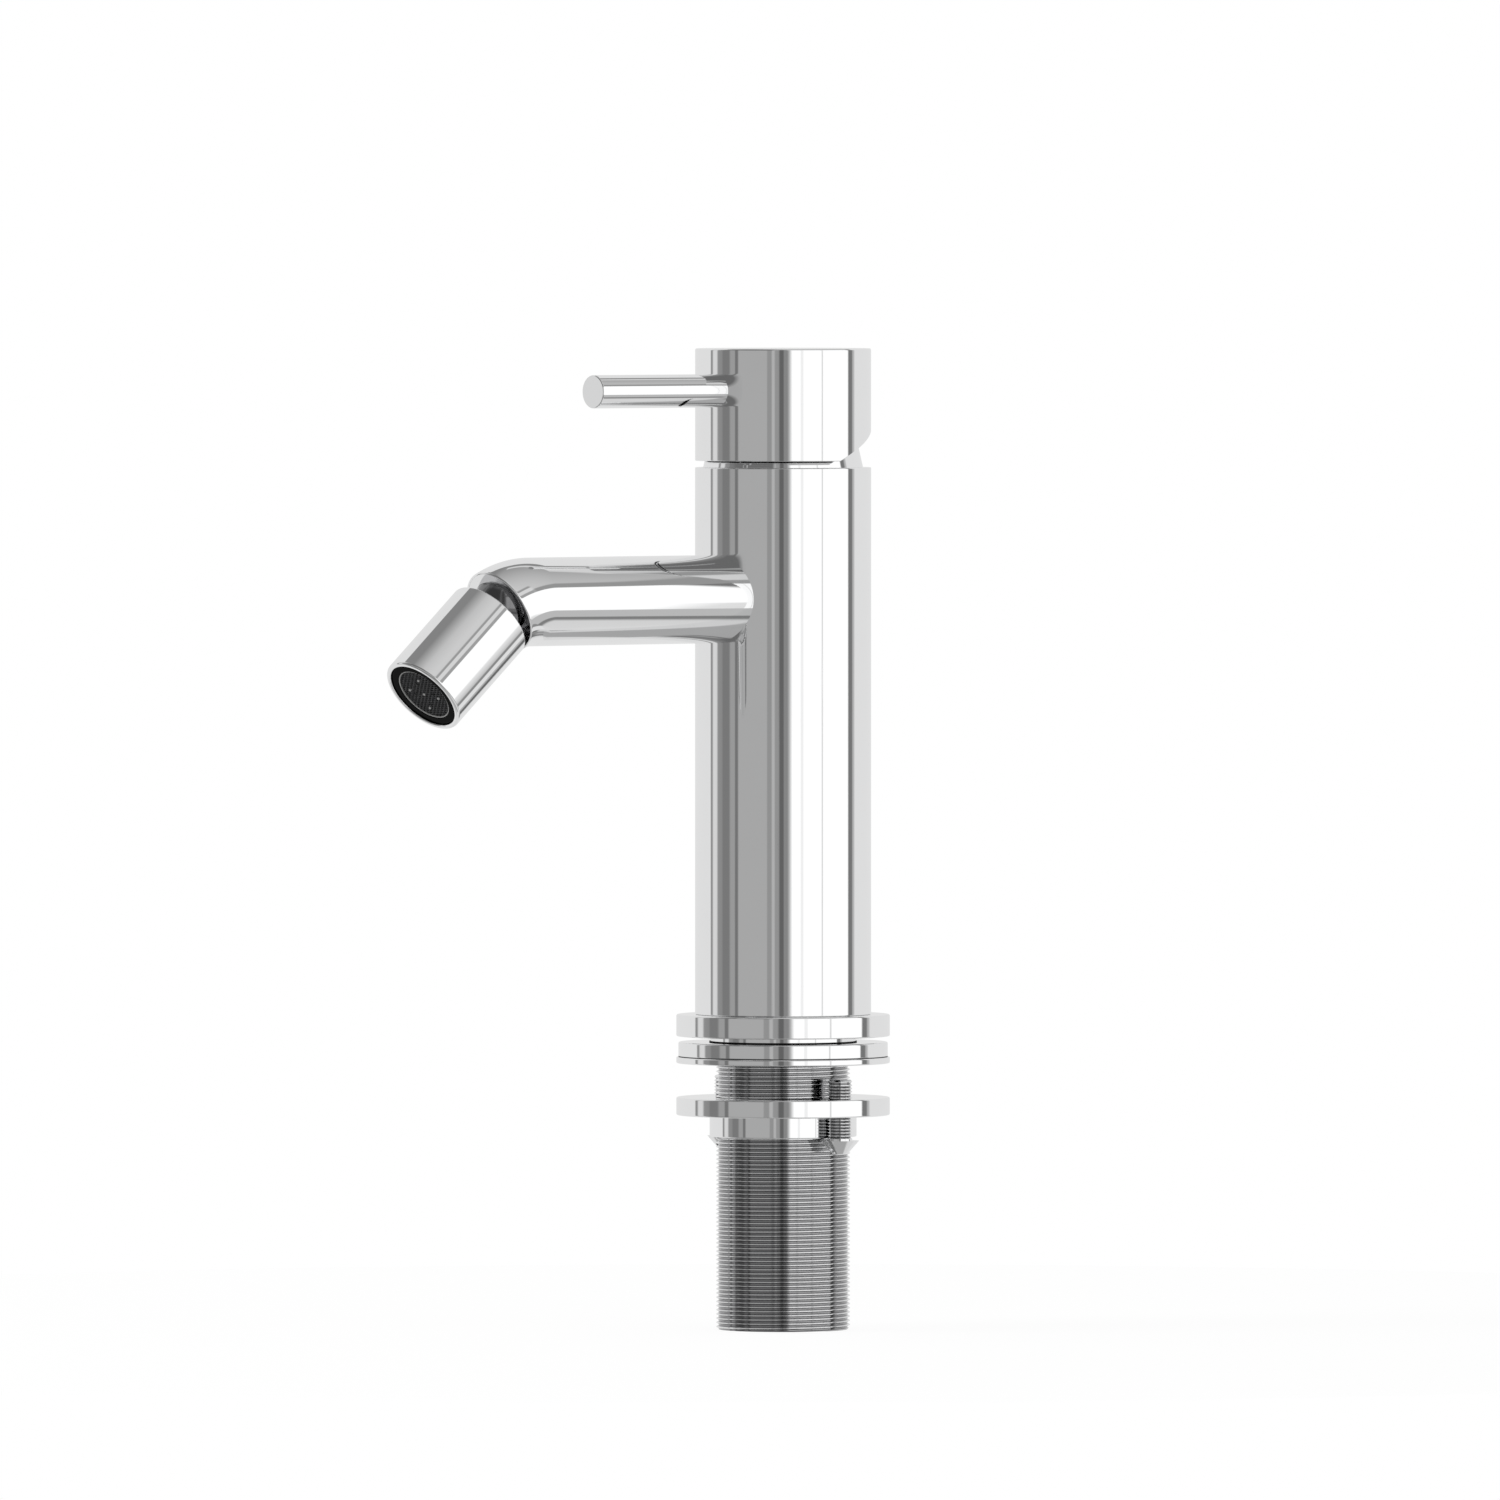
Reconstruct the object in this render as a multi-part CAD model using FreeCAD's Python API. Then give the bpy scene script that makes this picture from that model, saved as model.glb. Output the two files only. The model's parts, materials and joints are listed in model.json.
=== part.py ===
import FreeCAD, Part
import math
import os

from FreeCAD import Vector

# Single-lever bidet mixer tap, in millimetres. The origin is the middle of the deck hole at
# the height of the deck's top face. +Z goes up the body, and the spout and lever point to -Y.

# Cartridge and barrel
cartridge_radius = 17.5
pocket_clearance = 0.15
barrel_wall = 3.35
barrel_height = 130.6
rim_chamfer = 0.25
nut_engagement = 5.3
nut_thread_step = 0.55
seat_floor = 2.25
hose_chamber_wall = 3.5
manifold_floor = 2.08

# Cartridge stack, from its seat upwards
cartridge_base_height = 3.0
lower_disc_height = 3.0
disc_film = 0.02
upper_disc_height = 2.5
holder_height = 3.4
running_gap = 0.2
carrier_plate_height = 1.6
housing_roof = 1.4
housing_wall = 1.8
housing_neck_radius = 12.5
housing_neck_wall = 1.0
housing_neck_rise = 8.2
carrier_rise = 8.7
carrier_clearance = 0.2
disc_clearance = 0.3
upper_disc_radius = 10.2
disc_cavity_radius = 7.6
disc_cavity_depth = 1.4
disc_cavity_offset = 1.6
disc_cavity_front = -0.8

# Water ways through the cartridge's base and the barrel
port_edge_margin = 3.16
inlet_angle = 30.0
outlet_inset = 2.14
spout_bore_stop_gap = 2.0
inlet_channel_radius = 2.6
outlet_channel_radius = 3.0
cross_channel_radius = 3.5
seal_outer_radius = 4.2
seal_inner_radius = 3.2
seal_clearance = 0.05
inlet_thread_radius = 4.46
inlet_thread_length = 12.0
peg_radius = 1.4
peg_length = 2.0
peg_edge_margin = 0.4
peg_angle = 30.0
peg_clearance = 0.1

# Cartridge nut and dome ring
nut_bore_clearance = 0.05
nut_inner_clearance = 0.2
nut_collar_rise = 2.7
nut_collar_clearance = 1.0
dome_inset = 1.9
dome_taper = 1.2
dome_shoulder_rise = 5.3
dome_round_step = 1.5
dome_round_rise = 7.4
dome_top_rise = 8.5
dome_wall = 1.4
dome_hole_clearance = 0.3

# Handle
cap_gap = 1.6
cap_height = 26.8
cap_skirt_wall = 1.2
cap_skirt_margin = 0.66
cap_upper_wall = 3.5
cap_ceiling = 3.0
cap_cut_angle = 24.2
cap_boss_radius = 10.5
cap_boss_below_lever = 4.2
lever_radius = 3.95
lever_reach = 59.4
lever_drop = 10.0
lever_seat_depth = 2.8
lever_stud_radius = 2.45
thread_clearance = 0.05
grub_length = 4.2
grub_gap = 0.2
grub_socket_across = 2.5
grub_socket_depth = 2.0

# Spindle, which tilts about its pin in the carrier
pivot_rise = 3.7
spindle_width = 8.0
spindle_thickness = 7.0
spindle_clearance = 0.05
spindle_block_gap = 0.5
spindle_top_gap = 2.0
spindle_ball_floor = 0.2
spindle_stem_radius = 2.0
spindle_ball_radius = 2.2
spindle_pin_radius = 1.5
spindle_pin_end_gap = 0.5
holder_pocket_width = 6.4
holder_pocket_clearance = 0.2
carrier_slot_length = 16.4
carrier_slot_clearance = 0.2

# Spout
spout_radius = 10.5
spout_bore_radius = 6.5
spout_straight = 83.3
spout_bend_inside = 1.0
spout_bend_angle = 30.0
spout_rim_chamfer = 0.4
spout_spigot_radius = 8.3
spout_spigot_length = 5.0
spout_spigot_clearance = 0.05
spout_joint_gap = 0.02

# Ball joint at the spout's end. Its centre lies this far inside the end face.
ball_inset = 2.4
ball_clearance = 0.05
ball_back = 6.2
ball_neck_radius = 4.8
ball_stub_radius = 4.4
ball_bore_radius = 3.0
cup_wall = 0.95
cup_back = 5.0
cup_front = -1.0
spout_end_wall = 1.15
socket_ring_wall = 1.05
socket_ring_back = -0.6
socket_ring_lip = 0.9
socket_ring_hold = 0.49

# Swivel head, along its own axis from the ball's centre
head_rest_angle = 40.7
head_start = 5.8
head_length = 27.3
head_top_wall = 3.5
head_wall = 3.5
head_lip_wall = 1.25
head_mouth_depth = 8.5
head_rim_chamfer = 0.4
aerator_clearance = 0.05
aerator_recess = 0.5
aerator_seal_height = 1.5
cage_wall = 1.8
cage_lip = 0.1
mesh_thickness = 0.3
mesh_recess = 0.3
mesh_pitch = 1.0
mesh_gap = 0.7
insert_clearance = 0.1
insert_hole_radius = 0.8
insert_hole_circle = 5.2
insert_hole_count = 10
mesh_pin_radius = 0.3
mesh_pin_spacing = 3.2

# Base ring, and the shank through a standard 35 mm deck hole
base_overhang = 4.5
base_ring_height = 5.2
shank_cover = 5.0
shank_wall = 2.8
shank_depth = 70.1
shank_pitch = 1.0
shank_thread_depth = 0.61
shank_insertion = 20.6
shank_end_chamfer = 0.6
shank_bore_clearance = 0.05
shank_pocket_gap = 0.2
deck_hole_margin = 1.5
spigot_clearance = 0.1
spigot_height = 1.4
o_ring_section = 1.0
o_ring_groove_clearance = 0.3

# Clamp ring and washer, lock nut and jack screws
clamp_clearance = 0.3
clamp_ring_height = 3.55
clamp_ring_inset = 0.5
clamp_washer_height = 1.5
nut_top_depth = 14.6
nut_flange_height = 4.25
nut_hub_height = 5.15
nut_hub_wall = 1.47
nut_running_clearance = 0.08
screw_radius = 2.95
screw_pitch = 0.75
screw_thread_depth = 0.46
screw_clearance = 0.05
screw_hub_gap = 0.3
nut_flange_edge = 1.75
screw_tip_above_nut = 4.7
screw_below_hub = 0.4
screw_head_gap = 0.2
screw_head_end_radius = 1.9
screw_head_height = 3.1
screw_tip_chamfer = 0.4
screw_slot_width = 1.2
screw_slot_depth = 1.2
edge_break = 0.2

# How far a cutting shape runs past the face that it cuts
past = 1.0

# Places worked out from the sizes: barrel and cartridge
pocket_radius = cartridge_radius + pocket_clearance
barrel_radius = pocket_radius + barrel_wall
barrel_top = base_ring_height + barrel_height
nut_thread_radius = pocket_radius + nut_thread_step
housing_shoulder = barrel_top - nut_engagement
roof_underside = housing_shoulder - housing_roof
carrier_bottom = roof_underside - running_gap - carrier_plate_height
holder_bottom = carrier_bottom - running_gap - holder_height
upper_disc_bottom = holder_bottom - upper_disc_height
lower_disc_bottom = upper_disc_bottom - disc_film - lower_disc_height
seat_height = lower_disc_bottom - cartridge_base_height
housing_cavity_radius = cartridge_radius - housing_wall
carrier_neck_radius = housing_neck_radius - housing_neck_wall - carrier_clearance
side_bore_radius = spout_spigot_radius + spout_spigot_clearance
spout_height = seat_height - seat_floor - side_bore_radius
port_top = spout_height - spout_bore_radius - manifold_floor
hose_chamber_top = port_top - inlet_thread_length
port_circle = housing_cavity_radius - seal_outer_radius - port_edge_margin
peg_circle = housing_cavity_radius - peg_radius - peg_edge_margin
inlet_spread = port_circle * math.cos(math.radians(inlet_angle))
inlet_front = port_circle * math.sin(math.radians(inlet_angle))
outlet_back = port_circle - outlet_inset
peg_side = peg_circle * math.cos(math.radians(peg_angle))
peg_back = peg_circle * math.sin(math.radians(peg_angle))

# Dome ring, handle and spindle
dome_foot_radius = barrel_radius - dome_inset
dome_shoulder_radius = dome_foot_radius - dome_taper
dome_round_radius = dome_shoulder_radius - dome_round_step
dome_inner_radius = dome_shoulder_radius - dome_wall
nut_collar_radius = dome_inner_radius - nut_collar_clearance
pivot_height = barrel_top + pivot_rise
spindle_ball_height = holder_bottom + spindle_ball_radius + spindle_ball_floor
spindle_block_bottom = housing_shoulder + spindle_block_gap
cap_bottom = barrel_top + cap_gap
cap_top = cap_bottom + cap_height
cap_inner_top = cap_top - cap_ceiling
spindle_top = cap_inner_top - spindle_top_gap
cap_skirt_top = (cap_bottom + barrel_radius * math.tan(math.radians(cap_cut_angle))
                 + cap_skirt_margin)
lever_height = cap_top - lever_drop
lever_shoulder = barrel_radius - lever_seat_depth
boss_bottom = lever_height - cap_boss_below_lever
grub_near = spindle_thickness / 2 + spindle_clearance
grub_far = grub_near + grub_length

# Spout, ball joint and swivel head
spout_bend_radius = spout_radius + spout_bend_inside
bend_centre = Vector(0, -spout_straight, spout_height - spout_bend_radius)
bend = math.radians(spout_bend_angle)
spout_direction = Vector(0, -math.cos(bend), -math.sin(bend))
spout_end = bend_centre + Vector(0, -math.sin(bend), math.cos(bend)) * spout_bend_radius
ball_centre = spout_end - spout_direction * ball_inset
socket_ring_radius = spout_radius - spout_end_wall - thread_clearance
socket_radius = socket_ring_radius - socket_ring_wall
cup_outer_radius = socket_radius - ball_clearance
ball_radius = cup_outer_radius - cup_wall - ball_clearance
socket_ring_opening = math.sqrt(ball_radius ** 2 - ball_inset ** 2) - socket_ring_hold
head_end = head_start + head_length
head_chamber_radius = spout_radius - head_wall
head_mouth_radius = spout_radius - head_lip_wall
mouth_floor = head_end - head_mouth_depth
seal_end = mouth_floor + aerator_seal_height
cage_end = head_end - aerator_recess
cage_radius = head_mouth_radius - aerator_clearance
cage_bore_radius = cage_radius - cage_wall
cage_opening_radius = cage_bore_radius - cage_lip
mesh_end = cage_end - mesh_recess
mesh_start = mesh_end - mesh_thickness
insert_radius = cage_bore_radius - insert_clearance

# Base, shank and clamping parts
base_ring_radius = barrel_radius + base_overhang
shank_radius = barrel_radius - shank_cover
shank_bore_radius = shank_radius - shank_wall
deck_hole_radius = shank_radius + deck_hole_margin
o_ring_radius = (deck_hole_radius + base_ring_radius) / 2
nut_hub_radius = shank_radius + nut_running_clearance + nut_hub_wall
screw_circle = nut_hub_radius + screw_hub_gap + screw_radius
nut_flange_radius = screw_circle + screw_radius + nut_flange_edge
screw_head_radius = screw_circle - shank_radius - screw_head_gap
screw_tip_height = -nut_top_depth + screw_tip_above_nut
nut_bottom = -nut_top_depth - nut_flange_height - nut_hub_height
screw_head_top = nut_bottom - screw_below_hub

X_AXIS = Vector(1, 0, 0)
BACK = Vector(0, 1, 0)
FRONT = Vector(0, -1, 0)
inlets = [(-inlet_spread, -inlet_front), (inlet_spread, -inlet_front)]
outlet = (0, outlet_back)
pegs = [(-peg_side, peg_back), (peg_side, peg_back)]


def turned(outline):
    """Solid of revolution about Z, from its closed (radius, height) outline."""
    points = [Vector(radius, 0, height) for radius, height in outline]
    face = Part.Face(Part.makePolygon(points + points[:1]))
    return face.revolve(Vector(0, 0, 0), Vector(0, 0, 1), 360)


def bar(radius, low, high, low_chamfer=0.0, high_chamfer=0.0):
    """Upright round bar whose two rims may be chamfered."""
    outline = [(0, low), (radius - low_chamfer, low)]
    if low_chamfer > 0:
        outline.append((radius, low + low_chamfer))
    outline.append((radius, high - high_chamfer))
    if high_chamfer > 0:
        outline.append((radius - high_chamfer, high))
    outline.append((0, high))
    return turned(outline)


def ring(outer, inner, low, high, low_chamfer=0.0, high_chamfer=0.0):
    """Flat upright ring, chamfered on its outer rims."""
    hole = Part.makeCylinder(inner, high - low + 2 * past, Vector(0, 0, low - past))
    return bar(outer, low, high, low_chamfer, high_chamfer).cut(hole)


def hole(place, radius, low, high):
    """Cylinder that cuts an upright hole at (x, y)."""
    return Part.makeCylinder(radius, high - low, Vector(place[0], place[1], low))


def ball(radius):
    """Full ball about the local origin."""
    return Part.makeSphere(radius)


def slab(radius, low, high):
    """Wide disc that keeps a ball between two heights."""
    return Part.makeCylinder(radius, high - low, Vector(0, 0, low))


def on_ball(shape, angle):
    """Turn local +Z to point forward and down by the angle, and move it to the ball's centre."""
    placed = shape.copy()
    placed.rotate(Vector(0, 0, 0), X_AXIS, 90 + angle)
    placed.translate(ball_centre)
    return placed


def screw_side(radius, pitch, depth, low, high):
    """Points up a screw's side, with a flat crest and a V groove in every pitch."""
    crest = pitch / 8
    points = []
    for turn in range(int((high - low) / pitch)):
        foot = low + turn * pitch
        points.append((radius, foot))
        points.append((radius, foot + crest))
        points.append((radius - depth, foot + (pitch + crest) / 2))
    points.append((radius, high))
    return points


def make_body_barrel():
    """Brass barrel: cartridge pocket, water ways, inlet threads, spout hole, shank thread."""
    barrel = bar(barrel_radius, base_ring_height, barrel_top, rim_chamfer, rim_chamfer)
    shank_top = base_ring_height + shank_insertion + shank_pocket_gap
    chamber_radius = barrel_radius - hose_chamber_wall
    cuts = [
        hole((0, 0), shank_radius + shank_bore_clearance, base_ring_height - past, shank_top),
        hole((0, 0), chamber_radius, shank_top, hose_chamber_top),
        hole((0, 0), pocket_radius, seat_height, barrel_top + past),
        hole((0, 0), nut_thread_radius, housing_shoulder, barrel_top + past),
        hole(outlet, outlet_channel_radius, spout_height, seat_height + past),
    ]
    for place in inlets:
        cuts.append(hole(place, inlet_thread_radius, hose_chamber_top - past, port_top))
        cuts.append(hole(place, inlet_channel_radius, port_top - past, seat_height + past))
    for place in pegs:
        depth = peg_length + peg_clearance
        cuts.append(hole(place, peg_radius + peg_clearance, seat_height - depth, seat_height + past))
    side_bore_end = barrel_radius - spout_spigot_length
    start = Vector(0, -barrel_radius - past, spout_height)
    cuts.append(Part.makeCylinder(side_bore_radius, spout_spigot_length + past, start, BACK))
    inner_end = inlet_front + inlet_channel_radius + spout_bore_stop_gap
    start = Vector(0, -side_bore_end - past, spout_height)
    cuts.append(Part.makeCylinder(spout_bore_radius, side_bore_end + 1 - inner_end, start, BACK))
    cross_length = inner_end + 1 + outlet_back
    start = Vector(0, -inner_end - past, spout_height)
    cuts.append(Part.makeCylinder(cross_channel_radius, cross_length, start, BACK))
    return barrel.cut(cuts).removeSplitter()


def pipe(radius, start_y):
    """Round bar along the spout's line: straight, then bent down through one arc."""
    straight = Part.makeCylinder(radius, spout_straight + start_y,
                                 Vector(0, start_y, spout_height), FRONT)
    circle = Part.makeCircle(radius, Vector(0, -spout_straight, spout_height), FRONT)
    disc = Part.Face(Part.Wire(circle))
    return straight.fuse(disc.revolve(bend_centre, X_AXIS, spout_bend_angle))


def make_spout_pipe():
    """Spout: round pipe with a spigot in the barrel and the ball's socket in its bent end."""
    outer = pipe(spout_radius, -barrel_radius / 2)
    barrel_space = Part.makeCylinder(barrel_radius + spout_joint_gap, 4 * spout_radius,
                                     Vector(0, 0, spout_height - 2 * spout_radius))
    outer = outer.cut(barrel_space)
    spigot_end = barrel_radius - spout_spigot_length + spout_joint_gap
    spigot = Part.makeCylinder(spout_spigot_radius, spout_spigot_length + spout_radius,
                               Vector(0, -spigot_end, spout_height), FRONT)
    bevel_start = ball_inset - 2 * spout_rim_chamfer
    bevel_height = 4 * spout_rim_chamfer
    bevel = Part.makeCone(spout_radius + spout_rim_chamfer,
                          spout_radius + spout_rim_chamfer - bevel_height, bevel_height,
                          Vector(0, 0, bevel_start))
    rim = slab(2 * spout_radius, bevel_start, bevel_start + bevel_height)
    cuts = [
        pipe(spout_bore_radius, -spigot_end + past),
        on_ball(ball(socket_radius), spout_bend_angle),
        on_ball(slab(socket_ring_radius + thread_clearance, socket_ring_back, ball_inset + past),
                spout_bend_angle),
        on_ball(rim.cut(bevel), spout_bend_angle),
    ]
    return outer.fuse(spigot).cut(cuts).removeSplitter()


def make_socket_ring():
    """Threaded ring in the spout's end that keeps the ball in."""
    body = ring(socket_ring_radius, socket_ring_opening, socket_ring_back, ball_inset)
    behind_lip = ball(socket_radius).common(slab(2 * socket_radius, -socket_radius,
                                                 socket_ring_lip))
    seat = ball(ball_radius + ball_clearance)
    return on_ball(body.cut([behind_lip, seat]), spout_bend_angle)


def make_ball_cup():
    """Plastic cup between the ball and the socket's back."""
    shell = ball(cup_outer_radius).cut(ball(ball_radius + ball_clearance))
    return on_ball(shell.common(slab(2 * socket_radius, -cup_back, cup_front)), spout_bend_angle)


def make_swivel_ball():
    """Hollow ball and neck that carry the head."""
    solid = ball(ball_radius).common(slab(2 * ball_radius, -ball_back, ball_radius))
    solid = solid.fuse(slab(ball_neck_radius, ball_radius / 2, head_start))
    solid = solid.fuse(slab(ball_stub_radius, head_start - past, head_start + head_top_wall))
    bore = slab(ball_bore_radius, -ball_radius, head_end)
    return on_ball(solid.cut(bore).removeSplitter(), head_rest_angle)


def make_head_sleeve():
    """Round sleeve of the swivel head, with the aerator's mouth."""
    sleeve = bar(spout_radius, head_start, head_end, head_rim_chamfer, head_rim_chamfer)
    sleeve = sleeve.cut([
        slab(ball_stub_radius + thread_clearance, head_start - past, head_end),
        slab(head_chamber_radius, head_start + head_top_wall, head_end),
        slab(head_mouth_radius, mouth_floor, head_end + past),
    ])
    return on_ball(sleeve, head_rest_angle)


def make_aerator_seal():
    """Flat rubber washer behind the aerator."""
    washer = ring(cage_radius, head_chamber_radius, mouth_floor, seal_end)
    return on_ball(washer, head_rest_angle)


def make_aerator_cage():
    """Black threaded cage with a small front lip that holds the mesh."""
    cage = bar(cage_radius, seal_end, cage_end).cut([
        slab(cage_bore_radius, seal_end - past, mesh_end),
        slab(cage_opening_radius, seal_end, cage_end + past),
    ])
    return on_ball(cage, head_rest_angle)


def mesh_pins():
    """Places of the insert's pins, which show through the mesh."""
    step = mesh_pin_spacing
    return [(0, 0), (step, 0), (-step, 0), (0, step), (0, -step)]


def make_aerator_insert():
    """Flow former behind the mesh: drilled disc with pins through the mesh."""
    body = slab(insert_radius, seal_end, mesh_start)
    cuts = []
    for index in range(insert_hole_count):
        angle = 2 * math.pi * index / insert_hole_count
        place = (insert_hole_circle * math.cos(angle), insert_hole_circle * math.sin(angle))
        cuts.append(hole(place, insert_hole_radius, seal_end - past, mesh_start + past))
    body = body.cut(cuts)
    for place in mesh_pins():
        body = body.fuse(hole(place, mesh_pin_radius, mesh_start - past, mesh_end))
    return on_ball(body, head_rest_angle)


def make_aerator_mesh():
    """Screen: thin disc with square gaps in rows, and a clear hole for each pin."""
    pin_room = mesh_pin_radius + mesh_gap / 2
    disc = slab(insert_radius, mesh_start, mesh_end)
    reach = int(insert_radius / mesh_pitch)
    cuts = []
    for column in range(-reach, reach + 1):
        for row in range(-reach, reach + 1):
            centre = (column * mesh_pitch, row * mesh_pitch)
            near_rim = math.hypot(*centre) > cage_opening_radius - mesh_gap
            near_pin = any(math.dist(centre, pin) < pin_room + mesh_gap for pin in mesh_pins())
            if not near_rim and not near_pin:
                corner = Vector(centre[0] - mesh_gap / 2, centre[1] - mesh_gap / 2, mesh_start - past)
                cuts.append(Part.makeBox(mesh_gap, mesh_gap, mesh_thickness + 2 * past, corner))
    for pin in mesh_pins():
        cuts.append(hole(pin, mesh_pin_radius + thread_clearance, mesh_start - past, mesh_end + past))
    return on_ball(disc.cut(cuts), head_rest_angle)


def make_cartridge_base():
    """Plastic plate under the discs, with its ports and two locating pegs."""
    radius = housing_cavity_radius - seal_clearance
    plate = bar(radius, seat_height, lower_disc_bottom)
    for place in pegs:
        plate = plate.fuse(hole(place, peg_radius, seat_height - peg_length, seat_height + past))
    ports = [hole(place, seal_outer_radius + seal_clearance, seat_height - past,
                  lower_disc_bottom + past) for place in inlets + [outlet]]
    return plate.cut(ports).removeSplitter()


def make_port_seals():
    """Three rubber sleeves through the base, one for each port."""
    seals = []
    for place in inlets + [outlet]:
        outer = hole(place, seal_outer_radius, seat_height, lower_disc_bottom)
        seals.append(outer.cut(hole(place, seal_inner_radius, seat_height - past,
                                    lower_disc_bottom + past)))
    return Part.makeCompound(seals)


def make_lower_ceramic_disc():
    """Fixed ceramic disc with two inlets and one outlet."""
    top = lower_disc_bottom + lower_disc_height
    disc = bar(housing_cavity_radius - disc_clearance, lower_disc_bottom, top)
    cuts = [hole(place, inlet_channel_radius, lower_disc_bottom - past, top + past) for place in inlets]
    cuts.append(hole(outlet, outlet_channel_radius, lower_disc_bottom - past, top + past))
    return disc.cut(cuts)


def make_upper_ceramic_disc():
    """Sliding ceramic disc with a chamber in its underside that joins the ports."""
    disc = bar(upper_disc_radius, upper_disc_bottom, holder_bottom)
    chamber = hole((0, disc_cavity_offset), disc_cavity_radius, upper_disc_bottom - past,
                   upper_disc_bottom + disc_cavity_depth)
    front = Part.makeBox(4 * upper_disc_radius, 2 * upper_disc_radius, upper_disc_height + 2 * past,
                         Vector(-2 * upper_disc_radius, disc_cavity_front - 2 * upper_disc_radius,
                                upper_disc_bottom - 2 * past))
    return disc.cut(chamber.cut(front))


def make_disc_holder():
    """Plastic slider on the upper disc, with a pocket for the spindle's ball end."""
    holder = bar(upper_disc_radius, holder_bottom, holder_bottom + holder_height)
    depth = 2 * (spindle_ball_radius + holder_pocket_clearance)
    pocket = Part.makeBox(holder_pocket_width, depth, holder_height + 2 * past,
                          Vector(-holder_pocket_width / 2, -depth / 2, holder_bottom - past))
    return holder.cut(pocket)


def make_cartridge_housing():
    """Plastic shell of the cartridge: wide drum below, neck above."""
    outer = bar(cartridge_radius, seat_height, housing_shoulder)
    neck_top = barrel_top + housing_neck_rise
    outer = outer.fuse(slab(housing_neck_radius, housing_shoulder - past, neck_top))
    return outer.cut([
        slab(housing_cavity_radius, seat_height - past, roof_underside),
        slab(housing_neck_radius - housing_neck_wall, seat_height, neck_top + past),
    ]).removeSplitter()


def make_cartridge_carrier():
    """Plastic carrier that turns in the housing and holds the spindle's pin."""
    plate_top = carrier_bottom + carrier_plate_height
    carrier = slab(housing_cavity_radius - disc_clearance, carrier_bottom, plate_top)
    carrier_top = barrel_top + carrier_rise
    carrier = carrier.fuse(slab(carrier_neck_radius, carrier_bottom, carrier_top))
    width = spindle_width + 2 * carrier_slot_clearance
    slot = Part.makeBox(width, carrier_slot_length, carrier_top - carrier_bottom + 2 * past,
                        Vector(-width / 2, -carrier_slot_length / 2, carrier_bottom - past))
    return carrier.cut([slot, pin_rod(spindle_pin_radius + thread_clearance,
                                      carrier_neck_radius + past)])


def pin_rod(radius, half_length):
    """Rod along X through the pivot."""
    return Part.makeCylinder(radius, 2 * half_length, Vector(-half_length, 0, pivot_height), X_AXIS)


def make_spindle_pin():
    """Steel pin that the spindle tilts on."""
    return pin_rod(spindle_pin_radius, carrier_neck_radius - spindle_pin_end_gap)


def make_cartridge_spindle():
    """Steel spindle: square bar above, stem and ball end below."""
    block = Part.makeBox(spindle_width, spindle_thickness, spindle_top - spindle_block_bottom,
                         Vector(-spindle_width / 2, -spindle_thickness / 2, spindle_block_bottom))
    stem = slab(spindle_stem_radius, spindle_ball_height, spindle_block_bottom + past)
    end = ball(spindle_ball_radius)
    end.translate(Vector(0, 0, spindle_ball_height))
    pin_hole = pin_rod(spindle_pin_radius + thread_clearance, spindle_width)
    return block.fuse([stem, end]).cut(pin_hole)


def make_cartridge_nut():
    """Brass nut that presses the cartridge on its seat."""
    nut = bar(nut_thread_radius - nut_bore_clearance, housing_shoulder, barrel_top, edge_break)
    collar = Part.makeCone(nut_collar_radius, nut_collar_radius - edge_break, nut_collar_rise,
                           Vector(0, 0, barrel_top))
    bore = slab(housing_neck_radius + nut_inner_clearance, housing_shoulder - past, cap_top)
    return nut.fuse(collar).cut(bore).removeSplitter()


def make_dome_ring():
    """Chromed cone over the cartridge nut, seen in the gap under the cap."""
    hole_radius = housing_neck_radius + dome_hole_clearance
    outline = [
        (dome_foot_radius, 0),
        (dome_shoulder_radius, dome_shoulder_rise),
        (dome_round_radius, dome_round_rise),
        (hole_radius, dome_top_rise),
        (hole_radius, dome_top_rise - dome_wall),
        (dome_round_radius - dome_wall, dome_round_rise - dome_wall),
        (dome_inner_radius, dome_shoulder_rise - dome_wall),
        (dome_inner_radius, 0),
    ]
    return turned([(radius, barrel_top + rise) for radius, rise in outline])


def make_handle_cap():
    """Round cap of the handle, cut away under its back so that it can tilt."""
    skirt_radius = barrel_radius - cap_skirt_wall
    upper_radius = barrel_radius - cap_upper_wall
    cap = bar(barrel_radius, cap_bottom, cap_top, edge_break, rim_chamfer)
    cap = cap.cut([slab(skirt_radius, cap_bottom - past, cap_skirt_top),
                   slab(upper_radius, cap_skirt_top - past, cap_inner_top)])
    cap = cap.fuse(slab(cap_boss_radius, boss_bottom, cap_inner_top + past))
    width = spindle_width + 2 * spindle_clearance
    thickness = spindle_thickness + 2 * spindle_clearance
    socket = Part.makeBox(width, thickness, spindle_top + running_gap - cap_bottom,
                          Vector(-width / 2, -thickness / 2, cap_bottom))
    reach = 2 * barrel_radius
    rise = reach * math.tan(math.radians(cap_cut_angle))
    side = [Vector(-reach, 0, cap_bottom), Vector(-reach, reach, cap_bottom + rise),
            Vector(-reach, reach, cap_bottom - past), Vector(-reach, 0, cap_bottom - past)]
    wedge = Part.Face(Part.makePolygon(side + side[:1])).extrude(X_AXIS * (2 * reach))
    seat = Part.makeCylinder(lever_radius + thread_clearance, lever_seat_depth + past,
                             Vector(0, -barrel_radius + lever_seat_depth, lever_height), FRONT)
    stud_hole = Part.makeCylinder(lever_stud_radius + thread_clearance, barrel_radius,
                                  Vector(0, 0, lever_height), FRONT)
    return cap.cut([socket, wedge, seat, stud_hole]).removeSplitter()


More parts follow.
